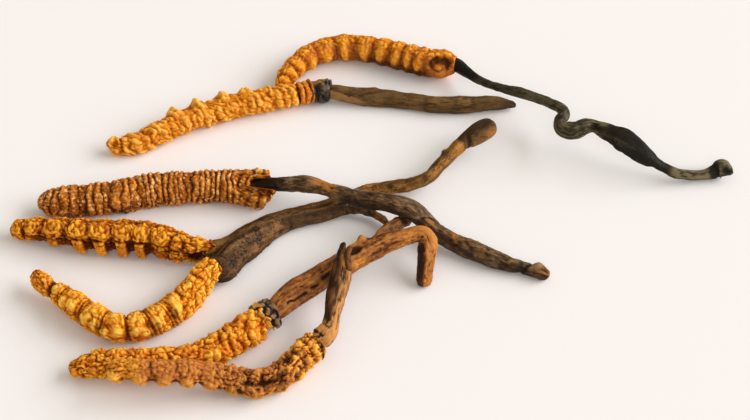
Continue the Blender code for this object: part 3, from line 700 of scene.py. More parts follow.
def third_skin(s, a, r):
    near_rim = smooth((s - 35.0) / 4)
    torn_by = third_tear(a) * near_rim
    wander = 0.40 * patches(s, a, 3.0, 5, 31) + 0.32 * patches(s, a, 1.2, 12, 32)
    count = np.interp(s + 0.4 * torn_by, [-4, 0, 19.5, 42], [-2.5, 0, 13.0, 33]) + wander
    count += 0.0012 * a
    cords = ridge(count, 1.6)
    strength = 0.8 + 0.5 * patches(s, a, 1.6, 9, 33)
    height = 0.42 * cords * strength - 0.42
    height += 0.26 * ridge(s / 4.9 + 0.25 + 0.3 * wander, 2.0) - 0.10
    grains, own = crumbs(s + torn_by, a, 0.8, 22, 34)
    height += (0.28 + 0.20 * near_rim) * (grains - 0.4)
    fine, own_fine = crumbs(s + torn_by, a, 0.4, 44, 40)
    height += 0.10 * (fine - 0.4) + 0.22 * patches(s, a, 3.4, 6, 35)
    lip = window(s, 38.4, 45, 2.0)
    height += 0.25 * lip * patches(s, a, 1.1, 13, 37)
    rolled = line(a, r, 34 + 9 * (s - 38), 0.5) * window(s, 35.5, 46, 2)
    height += 0.80 * window(s, 36.4, 46, 3.5) * window(turned(a, 84), -44, 60, 40) + 0.35 * rolled
    height += 0.35 * window(s, 36.5, 46, 2.5) * window(turned(a, -90), -40, 40, 30)
    stain = 0.30 * smooth(-patches(s, a, 2.2, 9, 36) * 2 - 0.4)
    # painted shade in the creases between the cords
    stain += 0.35 * smooth((0.25 - cords) / 0.2) * (1 - near_rim)
    pale = lump(s, a, r, 40.2, -84, 0.7, 0.8)
    # pale specks on the cord tops, partly pale grain and partly painted glints
    blush = 0.9 * smooth((own_fine - 0.86) / 0.06) * smooth((cords - 0.2) / 0.3)
    blush += 0.25 * smooth((own - 0.6) / 0.2) + 0.7 * pale
    # the last term paints the lower side darker as shade
    return height, stain + 0.25 * smooth((0.35 - own) / 0.2) + 0.2 * window(a, 40, 130, 40), blush


larva("larva_3", third_skin, third_tear, wall=0.8, depth=3.0)

# %% [markdown]
# ## The fourth larva: lobes above, feet below
# Seen from the side: a row of round lobes along the back, a hollow row under them, and four
# stubby feet below that reach down to the table. The hollow row, the lower side between the feet
# and the creases are painted dark as shade. The lobes are wrinkled like walnuts, and ring lines
# run round each foot. Lobes and feet are steep lumps, the wrinkles are crescent rings round each
# lobe over `crumbs`, and the hollow row is a trough along the body that is deepest between two
# feet.

# %% Larva 4
FOURTH_CREASES = [0, 3.0, 6.4, 11.0, 15.5, 19.4, 23.1, 26.7, 30.2, 33.2, 36.3, 39]
FOURTH_LOBES = [  # where and how wide
    (1.6, 1.2), (4.4, 1.4), (8.7, 2.0), (13.4, 2.0), (17.5, 1.9), (21.3, 1.75), (24.9, 1.75),
    (28.4, 1.6),
]
FOURTH_FEET = [  # where and how tall
    (8.5, 0.45), (13.5, 0.85), (17.1, 1.0), (21.1, 1.0), (24.6, 1.0),
]
FOURTH_LUMPS = [
    (0.40, 31.8, -25, 1.3), (0.45, 34.6, -36, 1.2, 1.4),
]


def fourth_skin(s, a, r):
    wander = 0.3 * patches(s, a, 2.6, 6, 41)
    bands = ridge(segment(s + wander, FOURTH_CREASES), 2.0)
    height = 0.34 * bands - 0.52
    height += lumps(s, a, r, FOURTH_LUMPS)
    crescents = 0 * s
    for where, size in FOURTH_LOBES:
        far = away(s, a, r, where, -20, size, 1.75) * (1 + 0.15 * patches(s, a, 1, 11, 47))
        height += 0.60 * np.exp(-(far**4))
        ring = np.exp(-((far - 0.72) ** 2) / 0.012) + np.exp(-((far - 1.05) ** 2) / 0.012)
        crescents += ring * window(a, -30, 16, 16)
        height += 0.40 * lump(s, a, r, where + size + 0.1, -38, 0.6, 0.7, 1.5)
    grains, own = crumbs(s, a, 1.3, 15, 42, tilt=1.4)
    small, own_small = crumbs(s, a, 0.65, 30, 43)
    height += 0.40 * (grains - 0.45) + 0.20 * (small - 0.4) + 0.24 * crescents
    trough = line(a, r, 19 + 6 * wander, 0.6) * window(s, 6, 28, 3)
    height -= 0.42 * trough * (0.4 + 0.6 * (1 - bands))
    below = window(a, 26, 120, 12) * window(s, 4, 28, 3)
    height -= 0.55 * below
    feet = 0 * s
    for where, tall in FOURTH_FEET:
        stub = np.exp(-(((s - where - 0.004 * (a - 40)) / 0.98) ** 8)) * window(a, 22, 92, 9)
        height += (0.80 * tall + 0.20 * ridge(np.radians(a) * r / 0.62 + wander, 1.6)) * stub
        feet = np.maximum(feet, stub)
    crumbly = smooth((s - 28.5) / 2)
    big, _ = crumbs(s, a, 1.9, 9, 45, tilt=1.4)
    height += 0.50 * crumbly * (big - 0.4)
    pit = away(s, a, r, 35.2, 46 + 10 * drift(s, 1.2, 46), 1.7, 1.5)
    height -= 0.65 * np.exp(-(pit**4))
    # painted shade: the pit, the hollow row and the lower side between the feet are darkened
    stain = 0.85 * np.exp(-((pit / 0.95) ** 4)) + 0.30 * trough + 0.60 * below * (1 - feet)
    # painted shade on the lower side of the head half
    stain += 0.30 * smooth((s - 26) / 4) * window(a, 0, 120, 30)
    # painted shade in the crevices of the crumbly head end
    stain += 0.40 * crumbly * smooth((0.3 - big) / 0.2)
    # the lower side also turns to the darker blush colour, as painted shade
    blush = 0.40 * below + 0.45 * smooth((own - 0.5) / 0.3)
    blush += 0.4 * smooth((own_small - 0.6) / 0.2)
    # painted shade in the creases between segments on the upper side
    stain += 0.3 * (1 - bands) * window(a, -110, 20, 30) * window(s, 3, 28, 3)
    return height, stain, blush


def fourth_tear(a):
    """A ragged head end, longest on its upper side."""
    return 1.1 * window(a, -100, 10, 60) + 0.5 * rim_rags(a, 9, 47)


larva("larva_4", fourth_skin, fourth_tear)

# %% [markdown]
# ## The fifth larva: bosses with folds between them
# The curled larva is the brightest. Along its inner side stands a row of round bosses, each with
# a knob in a ring, and under each lies a pointed collar. Between two bosses the skin is gathered
# into three or four thin folds. Near its head the folds run slantwise and the lumps turn pale.

# %% Larva 5
FIFTH_CREASES = [0, 5.2, 8.3, 13.6, 18.4, 22.1, 25.7, 29.2, 32.2, 34.8, 37.6, 40.2, 43.1, 46]
FIFTH_BOSSES = [  # where, at what angle and how wide
    (7.0, -28, 1.1), (10.6, -32, 2.0), (16.2, -38, 1.9), (20.3, -38, 1.6), (23.9, -34, 1.7),
    (27.7, -30, 1.7), (31.0, -28, 1.4),
]
FIFTH_COLLARS = [  # where and at what angle
    (9.6, 16), (12.0, 4), (15.4, 12), (17.5, 16), (19.3, 30), (20.8, 16), (23.3, 14), (24.7, 30),
    (26.8, 12), (30.4, 8),
]
FIFTH_FOLDS = [(8.4, 0.7), (13.6, 0.8), (18.4, 0.8), (22.1, 0.6), (25.8, 1.1), (29.3, 0.9)]


def fifth_skin(s, a, r):
    leaning = s + 0.012 * a * smooth((s - 28) / 4)
    wander = 0.3 * patches(s, a, 2.4, 6, 51)
    bands = ridge(segment(leaning + wander, FIFTH_CREASES), 1.9)
    rough = smooth((s - 31) / 2.5)
    height = 0.26 * bands - 0.52
    grains, own = crumbs(leaning, a, 1.3, 13, 52, tilt=1.5)
    ragged = 1 + 0.30 * patches(s, a, 0.9, 12, 57)
    boss = 0 * s
    for where, turn, size in FIFTH_BOSSES:
        far = away(s, a, r, where, turn, size * 1.1, size) * ragged
        boss = np.maximum(boss, np.exp(-(far**3)))
    height += 0.58 * boss
    collars = 0 * s
    for where, turn in FIFTH_COLLARS:
        collars = np.maximum(collars, np.clip(1.05 - away(s, a, r, where, turn, 1.35, 1.4), 0, 1))
    height += 0.85 * collars
    folds = 0 * s
    for where, reach in FIFTH_FOLDS:
        near = window(s - where - 0.006 * a, -reach, reach, 0.5)
        folds = np.maximum(folds, near)
        height += near * (0.30 * ridge((s - where - 0.006 * a) / 0.62 + 0.6 * wander, 1.6) - 0.16)
    height += (0.38 - 0.10 * boss) * (1 - 0.5 * rough) * (1 - 0.6 * folds) * (grains - 0.4)
    big, own_big = crumbs(leaning, a, 1.8, 9, 56, tilt=1.6)
    height += 0.52 * rough * (big - 0.35)
    small, _ = crumbs(s, a, 0.65, 27, 53)
    height += 0.18 * (small - 0.4)
    height -= 0.35 * np.exp(-(((s - 22.1) / 0.30) ** 2))
    tail = window(s, -1, 4.8, 1.2)
    waist = np.exp(-(((s - 5.4 - 0.006 * a) / 0.55) ** 2)) * window(a, -120, 90, 40)
    pits, _ = crumbs(s, a, 1.5, 6, 55, tilt=1.4)
    height += 0.42 * tail * (pits - 0.35) + 0.08 * tail - 0.50 * waist
    # painted shade in the folds between bosses, in the waist crease and in the pits of the tail
    stain = 0.45 * folds * (1 - boss) + 0.75 * waist + 0.30 * tail * smooth((0.25 - pits) / 0.2)
    # painted shade in the valleys between the grains
    shaded_valleys = smooth((0.3 - big * rough - grains * (1 - rough)) / 0.2)
    stain += (0.25 + 0.25 * rough) * shaded_valleys * window(a, -80, 120, 30)
    rusty = lump(s, a, r, 20.8, 36, 1.2, 0.9) + lump(s, a, r, 24.1, 42, 1.6, 0.9)
    rusty += 0.5 * lump(s, a, r, 23.8, -50, 1.3)
    blush = 0.40 * tail + 0.8 * rusty + 0.45 * smooth((own - 0.6) / 0.3) * (1 - rough)
    blush += 0.35 * rough * smooth((own_big - 0.6) / 0.2)
    return height, stain, blush * (1 - 0.5 * collars)


larva("larva_5", fifth_skin)

# %% [markdown]
# ## The sixth larva: nuggets
# This body is covered with rounded nuggets of two sizes, and turns into slanted ridges where it
# nears its black head. Two layers of `crumbs`, large under small, give the nuggets. The ridges
# take over by a soft step along the body.

# %% Larva 6
SIXTH_NUGGETS = [  # where, at what angle, how tall and how wide
    (1.2, 35, 0.5, 0.9), (2.6, -30, 0.4, 1.0), (3.9, 20, 0.4, 0.9), (5.3, -72, 0.5, 1.2),
    (8.5, -58, 0.5, 1.2), (13.0, -62, 0.4, 1.1), (15.8, -48, 0.4, 1.3), (20.5, -60, 0.3, 1.3),
    (24.5, 10, 0.5, 1.4), (28.5, -26, 0.4, 1.3), (31.5, 30, 0.5, 1.4), (32.8, -45, 0.6, 1.2),
    (32.6, 75, 0.6, 1.3),
]


def sixth_skin(s, a, r):
    leaning = s + 0.014 * a
    wander = 0.45 * patches(s, a, 2.4, 6, 61)
    big, own = crumbs(s, a, 1.7, 10, 62, tilt=1.3)
    small, own_small = crumbs(s, a, 0.85, 20, 63)
    ridges = smooth((s - 23) / 3)
    height = (0.54 - 0.15 * ridges) * (big - 0.45) + 0.28 * (small - 0.4)
    height += 0.44 * ridges * (ridge(leaning / 2.1 + wander, 1.6) - 0.5) - 0.10
    fine, _ = crumbs(s, a, 0.5, 34, 64)
    height += 0.08 * fine
    for where, turn, tall, size in SIXTH_NUGGETS:
        height += tall * lump(s, a, r, where, turn, size, size, 1.4)
    # painted shade in the crevices between the nuggets, more near the tail
    stain = 0.30 * smooth((0.25 - big) / 0.2)
    stain += 0.40 * window(s, 1, 8, 3) * smooth((0.5 - small) / 0.3)
    blush = 0.50 * smooth((own - 0.55) / 0.2) + 0.40 * smooth((own_small - 0.6) / 0.2)
    return height, stain, blush


def sixth_tear(a):
    """Golden teeth round the black head."""
    return 0.9 * rim_rags(a, 9, 66) + 0.5 * rim_rags(a, 19, 67)


larva("larva_6", sixth_skin, sixth_tear)

# %% [markdown]
# ## The seventh larva: soft at the tail, crumbly at the head
# Its raised tail leans on the sixth larva. Seven small feet show as bumps on its lower edge. The
# tail half is soft and pale, and the head half is brown and broken into crumbs with black pits,
# so both the relief and the stain follow a soft step along the body.

# %% Larva 7
SEVENTH_BUMPS = [  # where and how tall
    (1.4, 0.7), (5.8, 0.5), (9.8, 0.7), (13.6, 0.9), (17.7, 0.8), (21.5, 0.9), (25.3, 0.9),
]
SEVENTH_BEADS = [(31.0, -48), (33.3, -18), (35.2, -44), (36.6, -6), (34.2, 32), (37.0, 50)]


def seventh_skin(s, a, r):
    rough = smooth((s - 16) / 6)
    under = window(a, 44, 130, 26) * window(s, 0.5, 27, 3)
    big, own = crumbs(s, a, 2.0, 8, 72, tilt=0.4)
    small, own_small = crumbs(s, a, 0.95, 16, 73)
    height = (0.30 + 0.42 * rough) * (big - 0.45) + (0.26 + 0.10 * rough) * (small - 0.4)
    height += 0.20 * (1 - rough) * (ridge(s / 4.0 + 0.1, 2.0) - 0.6) - 0.12
    winding = swirls(s, a, 1.7, 10, 76, 1.5)
    height += (0.06 + 0.16 * rough) * (winding - 0.5)
    fine, _ = crumbs(s, a, 0.55, 30, 74)
    height += (0.03 + 0.09 * rough) * fine
    height -= 0.40 * under
    knobs = 0 * s
    for where, tall in SEVENTH_BUMPS:
        knob = lump(s, a, r, where, 72, 1.35, 1.7, 3.0)
        height += (0.32 + 0.42 * tall) * knob
        knobs = np.maximum(knobs, knob)
        height += 0.28 * lump(s, a, r, where + 0.3, 30, 0.9, 1.0, 1.3)
    for where, turn in SEVENTH_BEADS:
        height += 0.45 * lump(s, a, r, where, turn, 0.95, 0.9, 1.5)
    pits = smooth(1.5 * patches(s, a, 1.2, 10, 75) - 0.25) * window(s, 18, 34, 4)
    pits += lump(s, a, r, 26.8, 6, 1.2, 0.9) + lump(s, a, r, 31.6, -44, 1.5, 0.8)
    pits += 0.8 * lump(s, a, r, 29.0, 36, 0.9, 1.3)
    height -= 0.30 * pits
    yellow = window(s, 31.0, 40, 3) * smooth((own_small - 0.2) / 0.2) * (1 - np.clip(pits, 0, 1))
    tips = window(a, 66, 130, 24) * (0.6 + 0.4 * rough)
    tail = smooth((7.5 - s) / 4)
    stain = 0.5 * pits + 0.6 * window(s, 36.9, 42, 0.6) * smooth(patches(s, a, 1, 9, 77) + 0.6)
    # painted shade in the gaps between the feet on the lower side
    stain += 0.45 * window(s, 6, 24, 5) * window(a, 34, 120, 24) * (1 - knobs)
    # painted shade in the crevices of the crumbly head half
    stain += 0.25 * rough * smooth((0.3 - small) / 0.2)
    blush = (1 - yellow) * (1 - tail) * (1 - 0.7 * tips) * (0.75 + 0.25 * rough)
    blush += 0.25 * smooth((own_small - 0.75) / 0.1)
    return height, stain + 0.30 * rough * (1 - yellow) * own, blush


larva("larva_7", seventh_skin)

# %% [markdown]
# ## The black heads
# Between two of the larvae and their stalks sits what is left of the head: one is a shiny black
# shell, the other a jagged crown that has burst open round the stalk. They are short tubes,
# rooted in the larva, with a hole for the stalk. The crown's jags are a tear, as on the third
# larva, with teeth.

# %% Build the heads
HEAD_GRID = 0.08  # mm between two rows
HEAD_COLUMNS = 84  # points round it


def head(name, skin, torn=None):
    """A short shell, from inside the larva's rim to the stalk."""
    route = routes[name]
    s = np.linspace(0.0, route.length, round(route.length / HEAD_GRID))
    radius = route.values(s)[:, 3] * rounded_end(s, 0.3)
    over, down, across = rim_steps((0, 0.4), (0.4, 0.3), (0.7, 0.3))
    inner = HEADS[name][2] - 0.1
    lip = (radius[-1] + (inner - radius[-1]) * over) * (1 - across)
    kept = np.concatenate([smooth((s - 0.3) / 0.8), 1 - over])
    s = np.concatenate([s, route.length + 0.25 * np.sin(math.pi * over) - down])
    radius = np.concatenate([radius, lip])
    radius[0] = radius[-1] = 0.0
    pieces[name] = roll_up(name, route, s, radius, kept, HEAD_COLUMNS, skin, torn, contrast=0.5)


SHELL_LUMPS = [
    (0.35, 3.6, -14, 1.0, 0.9, 1.5), (0.3, 2.4, 70, 1.3, 1.3),
]


def shell_skin(s, a, r):
    plates, _ = crumbs(s, a, 2.2, 5, 81, valley=0.35, tilt=2.0)
    fine, _ = crumbs(s, a, 0.7, 18, 82)
    height = 0.75 * (plates - 0.45) + 0.12 * (fine - 0.4) - 0.1
    height += lumps(s, a, r, SHELL_LUMPS)
    tan = window(a, -150, -24, 40) * window(s, 0.2, 3.6, 0.8)
    shade = smooth(0.5 + patches(s, a, 0.7, 14, 87))
    return height, 0.6 * window(a, 10, 150, 40), tan * (0.6 + 0.4 * shade)


def crown_skin(s, a, r):
    plates, own = crumbs(s, a, 1.3, 10, 83, valley=0.3, tilt=2.6)
    fine, _ = crumbs(s, a, 0.5, 26, 84)
    height = 0.85 * (plates - 0.45) + 0.18 * (fine - 0.4)
    gold = smooth((3.3 - s) / 0.8) * smooth((own - 0.30) / 0.2)
    gold += 0.8 * smooth((own - 0.82) / 0.05)
    return height, 0.5 * smooth((0.35 - own) / 0.15), gold


def crown_teeth(a):
    return rim_rags(a, 9, 85) + 0.5 * rim_rags(a, 21, 86)


head("head_2", shell_skin)
head("head_6", crown_skin, crown_teeth)

# %% [markdown]
# ## Woody stalks
# A stalk is the fungus itself, dried to thin wood. Its skin has shrunk into fine wrinkles that
# run lengthwise and twist slowly round it, and the whole stem has dried a little out of round.
# `wrinkles` gives the folds: soft patches that are long and narrow, turned as they go along, with
# a crease wherever a patch changes sign. They come and go, so they are faded by wider patches.
# Each stalk adds its own knots, hollows, scars and worn places.

# %% Build a stalk
STALK_GRID = 0.18  # mm between two rows
STALK_COLUMNS = 84  # points round it
ROOT_ROWS = [0.06, 0.14]  # mm from the root, where more rows round it off
TIP_ROWS = np.array([0.16, 0.09, 0.04])  # and the same before the tip
WRINKLE_SIZES = [(1, 1.0, 1.0), (2, 0.6, 0.7), (4, 0.3, 0.6)]  # how many, how long, how deep


def wrinkles(s, a, around, length, twist, seed):
    """Long narrow folds round a stalk: below 0 in a crease, above 0 on top."""
    winding = round_cells(a, around) + twist * s
    folds = np.sqrt(np.abs(cloudy_field(s / length, winding, around, seed))) - 0.6
    return folds * smooth(0.55 + 0.9 * patches(s, a, 3.1, 4, seed + 7))


def bark(s, a, seed, depth=0.12, twist=0.02, around=9, length=5.0):
    """Wrinkles of three sizes, a fine grit and a stem out of round, in mm."""
    folds = sum(
        deep * wrinkles(s, a, around * many, length * long, twist * many, seed + nth)
        for nth, (many, long, deep) in enumerate(WRINKLE_SIZES)
    )
    uneven = patches(s, a, 2.6, 4, seed + 3) + 0.6 * patches(s, a, 1.2, 7, seed + 4)
    return depth * folds + 0.13 * uneven + 0.035 * patches(s, a, 0.4, 36, seed + 5)


def flecks(s, a, seed, size=1.0):
    """Small ragged spots, drawn out lengthwise, from 0 to 1."""
    spots = 0.50 * patches(s, a, 5.0 * size, 8, seed)
    spots += 0.38 * patches(s, a, 2.6 * size, 20, seed + 1)
    return smooth(0.5 + spots + 0.30 * patches(s, a, 1.1 * size, 40, seed + 2))


def stalk(name, skin, columns=STALK_COLUMNS):
    """A stalk from its root, inside the head, to its closed tip."""
    route = routes[name]
    s = np.linspace(0.0, route.length, round(route.length / STALK_GRID))
    s = np.sort(np.concatenate([s, ROOT_ROWS, route.length - TIP_ROWS]))
    values = route.values(s)
    tip = max(values[-1, 3], 0.3)
    left = route.length - s
    taper = 0.45 + 0.55 * rounded_end(left, tip)
    radius = values[:, 3] * taper * rounded_end(left, 0.35) * rounded_end(s, 0.3)
    radius[0] = radius[-1] = 0.0
    kept = smooth(s / 0.8) * smooth(left / 0.4)
    pieces[name] = roll_up(name, route, s, radius, kept, columns, skin, contrast=0.48)


extra_rows = len(ROOT_ROWS) + len(TIP_ROWS)
stalk_rows = round(routes["stalk_1"].length / STALK_GRID) + extra_rows
print("the longest stalk has", stalk_rows, "rows of points")

# %% [markdown]
# ## The first stalk: kinked, with a flat leaf
# The longest stalk leaves its larva as a black cone, kinks twice like a bent wire, widens to a
# flat dark leaf and ends in a small angular knob. The kink gathers the skin into fine lengthwise
# folds. The leaf has a raised vein and a ragged edge, and the knob is a few hard facets round a
# rusty hollow.

# %% Stalk 1


def first_stalk_skin(s, a, r):
    folded = window(s, 27.5, 41, 2)
    height = bark(s, a, 101, 0.09 + 0.07 * folded, 0.03, 8) * (0.8 + 0.2 * folded)
    height += 0.35 * (1 - smooth((s - 1.5) / 5.0)) + 0.22 * window(s, 32.5, 38.5, 3)
    leaf = window(s, 42, 56, 3)
    vein = line(a, r, 20 - 2.0 * (s - 42), 0.5)
    height += leaf * (0.20 * vein - 0.12) + 0.35 * leaf * lump(s, a, r, 46, -88, 3.0, 1.2)
    ragged = patches(s, a, 1.9, 10, 105)
    height += 0.28 * leaf * ragged * window(a, 60, 120, 30) + 0.10 * leaf * ragged
    knob = smooth((s - 65.4) / 0.8)
    facets, _ = crumbs(s, a, 3.4, 4, 104, valley=0.3, tilt=1.2)
    hollow = away(s, a, r, 67.6, 4, 1.0, 0.8)
    peak = lump(s, a, r, 67.2, -88, 0.9, 0.9)
    height += knob * (0.26 * (facets - 0.4) + 0.55 * peak - 0.15 * np.exp(-(hollow**4)))
    height -= 0.20 * np.exp(-(((s - 65.0) / 0.5) ** 2))
    spots = flecks(s, a, 106)
    rusty = knob * window(a, -60, 50, 40) * (0.35 + 0.65 * spots)
    # a painted sheen: a lighter oval on the face of the leaf
    painted_sheen = lump(s, a, r, 46.2, 6, 2.8, 1.5)
    stain = window(s, 1, 8, 2) + 0.40 * window(s, 7, 27, 5) + leaf * (1.0 - 0.2 * spots)
    stain += 0.8 * window(s, 63.6, 65.6, 1.0)
    stain += 0.6 * np.exp(-(hollow**4)) + 0.25 * folded * (1 - spots)
    stain += 0.6 * knob * window(a, -50, 60, 30) * (1 - 0.5 * spots)
    blush = 0.5 * window(s, 19, 26, 4) * window(a, -60, 60, 40) + 0.9 * rusty
    blush += 0.85 * window(s, 56, 64, 2) * window(a, -160, 60, 40) * (0.6 + 0.4 * spots)
    blush += 0.45 * window(s, 38.5, 42, 1.5) * window(a, -150, -10, 30)
    blush += 0.5 * leaf * lump(s, a, r, 53.5, -60, 2.0, 0.6)
    # the painted sheen takes away some of the dark
    return height, stain * (1 - 0.35 * painted_sheen), blush


stalk("stalk_1", first_stalk_skin)

# %% [markdown]
# ## The second stalk: smooth, with soft facets
# This stalk is nearly straight and has dried with soft flat faces rather than wrinkles. A paler
# wedge lies at its root. A low count of folds with a high power gives broad faces with narrow
# edges, and these are broken off by soft dents.

# %% Stalk 2
SECOND_STALK_LUMPS = [
    (0.22, 9.6, -85, 0.8), (0.15, 16.8, -85, 0.6), (-0.16, 19.6, 0, 0.7, 1.4),
    (-0.14, 28.5, -10, 0.7, 1.6), (0.12, 23.4, -20, 2.2, 1.2),
]


def second_stalk_skin(s, a, r):
    faces = ridge(round_cells(a, 4) + 0.06 * s + 0.5 * patches(s, a, 6, 3, 115), 3.0)
    height = bark(s, a, 111, 0.06, 0.015, 8) * 0.8 + 0.14 * (faces - 0.6)
    height += lumps(s, a, r, SECOND_STALK_LUMPS)
    height -= 0.45 * smooth((s - 33.4) / 2.8)
    wedge = smooth((10.5 - s) / 4) * window(a, 6 * s - 14, 170, 30)
    spots = flecks(s, a, 116, 1.6)
    cloudy = smooth(0.5 + 0.9 * patches(s, a, 2.6, 4, 117))
    stain = 0.40 * smooth((s - 6) / 5) * cloudy * window(a, -40, 160, 60)
    stain += 0.30 * lump(s, a, r, 19.6, 0, 1.0, 1.6)
    stain += 0.45 * smooth((s - 32.5) / 2.5) + 0.25 * (1 - spots) * smooth((s - 4) / 4)
    reddish = window(s, 20, 29, 5) * smooth(patches(s, a, 3, 4, 114) + 0.6)
    return height, stain, 0.95 * wedge + 0.45 * reddish * (0.6 + 0.4 * spots)


stalk("stalk_2", second_stalk_skin)

# %% [markdown]
# ## The third stalk: dark shell, worn places, rusty end
# It starts in the shadow of the torn rim, and that shadow is painted on, nearly black. An orange
# patch is worn through near its first bend. A grey wrinkled shell covers its middle and stops
# with a ragged edge; its lower side is painted darker as shade. Past that the wood is painted
# dark below as shade and is rusty above, with a blunt brown nub at the tip.

# %% Stalk 3
THIRD_STALK_LUMPS = [
    (0.20, 12.8, -60, 1.6), (-0.12, 15.0, -38, 2.2, 0.9), (0.30, 57.8, -60, 1.0),
]


def third_stalk_skin(s, a, r):
    height = bark(s, a, 121, 0.12, 0.025, 9)
    height += lumps(s, a, r, THIRD_STALK_LUMPS)
    shell_end = 34.8 + 0.8 * rim_rags(a, 9, 124) - 0.03 * turned(a, -30)
    shell = smooth((s - 17) / 3) * smooth((shell_end - s) / 0.5)
    height += 0.20 * shell * smooth((s - 26) / 6)
    valley = line(a, r, -10 + 2.0 * (s - 46) + 14 * drift(s, 2, 128), 0.4) * window(s, 40, 56, 3)
    knots, _ = crumbs(s, a, 2.4, 5, 125)
    height += 0.10 * (knots - 0.4) * window(s, 38, 60, 4) - 0.16 * valley
    height -= 0.35 * np.exp(-(((s - 55.6 + 0.01 * a) / 0.5) ** 2))
    spots = flecks(s, a, 127)
    worn = lump(s, a, r, 15.0, -36, 2.8, 1.2, 1.5) * (0.6 + 0.4 * spots)
    after = smooth((s - shell_end) / 0.6)
    cloudy = smooth(0.45 + 0.9 * patches(s, a, 2.0, 5, 129))
    rust = 1.1 * window(a, -160, -6, 26) * window(s, 34, 42, 2)
    rust += 0.7 * window(a, -90, 24, 40) * window(s, 40, 54, 3)
    rust *= after * (0.35 + 0.65 * cloudy)
    # the first term is the painted shadow of the torn rim
    stain = 0.9 * window(s, 0, 7.0, 3) + 0.30 * window(s, 6, 17, 3) * (1 - spots)
    # painted shade on the lower side past the shell
    stain += 0.45 * after * window(a, 4, 150, 40)
    # painted shade on the lower side of the shell
    stain += 0.60 * shell * window(a, 18, 150, 50)
    stain += 0.35 * shell * (1 - spots) * window(s, 18, 27, 3)
    stain += 0.25 * valley + 0.6 * np.exp(-(((s - 54.8) / 0.9) ** 2)) + 0.25 * after * (1 - spots)
    blush = 1.25 * worn + 0.75 * rust * (0.35 + 0.65 * spots)
    blush += 0.75 * smooth((s - 56) / 1.5) * (0.4 + 0.6 * spots)
    return height, stain * (1 - worn), blush * (1 - 0.9 * shell)


stalk("stalk_3", third_stalk_skin)

# %% [markdown]
# ## The fourth stalk: mottled, with a club at its tip
# Olive-brown with paler orange flecks and dark pits. A small nub stands on its upper side before
# the stalk swells into a smooth club. The club overlaps the stem with a crease, and it has a dent
# on top; crease and dent are painted dark as shade.

# %% Stalk 4
FOURTH_STALK_LUMPS = [
    (0.50, 52.4, -80, 0.6), (0.14, 54.6, 10, 2.0, 0.8), (-0.2, 38.9, 0, 0.6),
]


def fourth_stalk_skin(s, a, r):
    spots = flecks(s, a, 136)
    stem = smooth((56.5 - s) / 1.5)
    height = bark(s, a, 131, 0.11, 0.03, 8) * (0.35 + 0.65 * stem) + 0.06 * (spots - 0.5) * stem
    height += lumps(s, a, r, FOURTH_STALK_LUMPS)
    height += 0.10 * window(s, 1.5, 14, 4) * window(a, -150, 0, 40)
    crease = np.exp(-(((s - 57.4 + 0.010 * a) / 0.35) ** 2)) * window(a, -30, 120, 40)
    height += 0.28 * smooth((s - 57.3) / 0.8) * window(a, -20, 150, 50) - 0.30 * crease
    dent = away(s, a, r, 61.3, -22, 0.9, 0.55)
    height -= 0.28 * np.exp(-(dent**2))
    pale = lump(s, a, r, 54.8, 25, 2.2, 0.8, 1.5)
    # painted shade in the dent and in the crease where the club overlaps the stem
    stain = 0.40 * (1 - spots) * stem + 0.75 * np.exp(-(dent**2)) + 0.6 * crease
    stain += 0.6 * lump(s, a, r, 38.9, 0, 0.8)
    stain += 0.35 * window(s, 6, 32, 6) * (1 - 0.5 * spots)
    stain += (1 - stem) * (0.55 + 0.35 * window(a, -170, 20, 60) - 0.15 * spots)
    stain += 0.5 * lump(s, a, r, 52.0, -80, 0.9)
    blush = 0.9 * pale * (0.5 + 0.5 * spots) + 0.40 * stem * spots * smooth((s - 28) / 4)
    glint = lump(s, a, r, 62.0, 48, 1.8, 1.3)
    return height, stain * (1 - 0.6 * glint), blush + 0.6 * glint


stalk("stalk_4", fourth_stalk_skin)

# %% [markdown]
# ## The fifth stalk: a wide flat root, a thin dark tip
# Its root is broad, flat and grainy, grey-brown like bark, with a pale streak along it. Past a
# narrow waist it is brown with dark lines, and it ends as a thin twig with a reddish tip.

# %% Stalk 5
FIFTH_STALK_LUMPS = [
    (0.20, 17.6, -16, 1.4, 1.0), (-0.18, 20.3, 0, 0.6, 1.4),
]


def fifth_stalk_skin(s, a, r):
    root = smooth((17.0 - s) / 4)
    height = bark(s, a, 141, 0.12, 0.03, 8) + 0.10 * smooth((8 - s) / 4) * window(a, 30, 170, 30)
    height += lumps(s, a, r, FIFTH_STALK_LUMPS)
    height += 0.60 * window(s, 0.5, 16, 4) * window(a, -170, -30, 60)
    grain, _ = crumbs(s, a, 0.5, 34, 144)
    height += 0.24 * (grain - 0.4) * root
    groove = line(a, r, -78 + 2.2 * s, 0.55) * root
    height -= 0.22 * groove
    height += 0.35 * window(s, 17, 29, 4) * window(a, -150, -50, 40)
    ends, _ = crumbs(s, a, 1.6, 5, 145)
    height += 0.20 * (ends - 0.4) * smooth((s - 28) / 4)
    spots = flecks(s, a, 146)
    streak = line(a, r, 6 + 2.6 * s, 1.0) * root
    stain = 0.45 * smooth((s - 18) / 2) * (1.1 - 0.4 * spots)
    # painted shade in the groove and on the lower side of the root
    stain += 0.55 * groove + 0.30 * root * (1 - spots) + 0.3 * root * window(a, 50, 150, 40)
    stain += 0.4 * smooth((4.5 - s) / 2)
    blush = 0.50 * streak * (0.4 + 0.6 * spots) + 0.8 * lump(s, a, r, 18.0, -14, 1.2, 0.8) * spots
    blush += 0.8 * smooth((s - 36.5) / 1.0)
    blush += 0.6 * window(s, 20, 30, 3) * window(a, -150, -44, 40) * spots
    return height, stain * (1 - 0.7 * window(s, 20, 30, 3) * window(a, -150, -58, 24)), blush


stalk("stalk_5", fifth_stalk_skin)

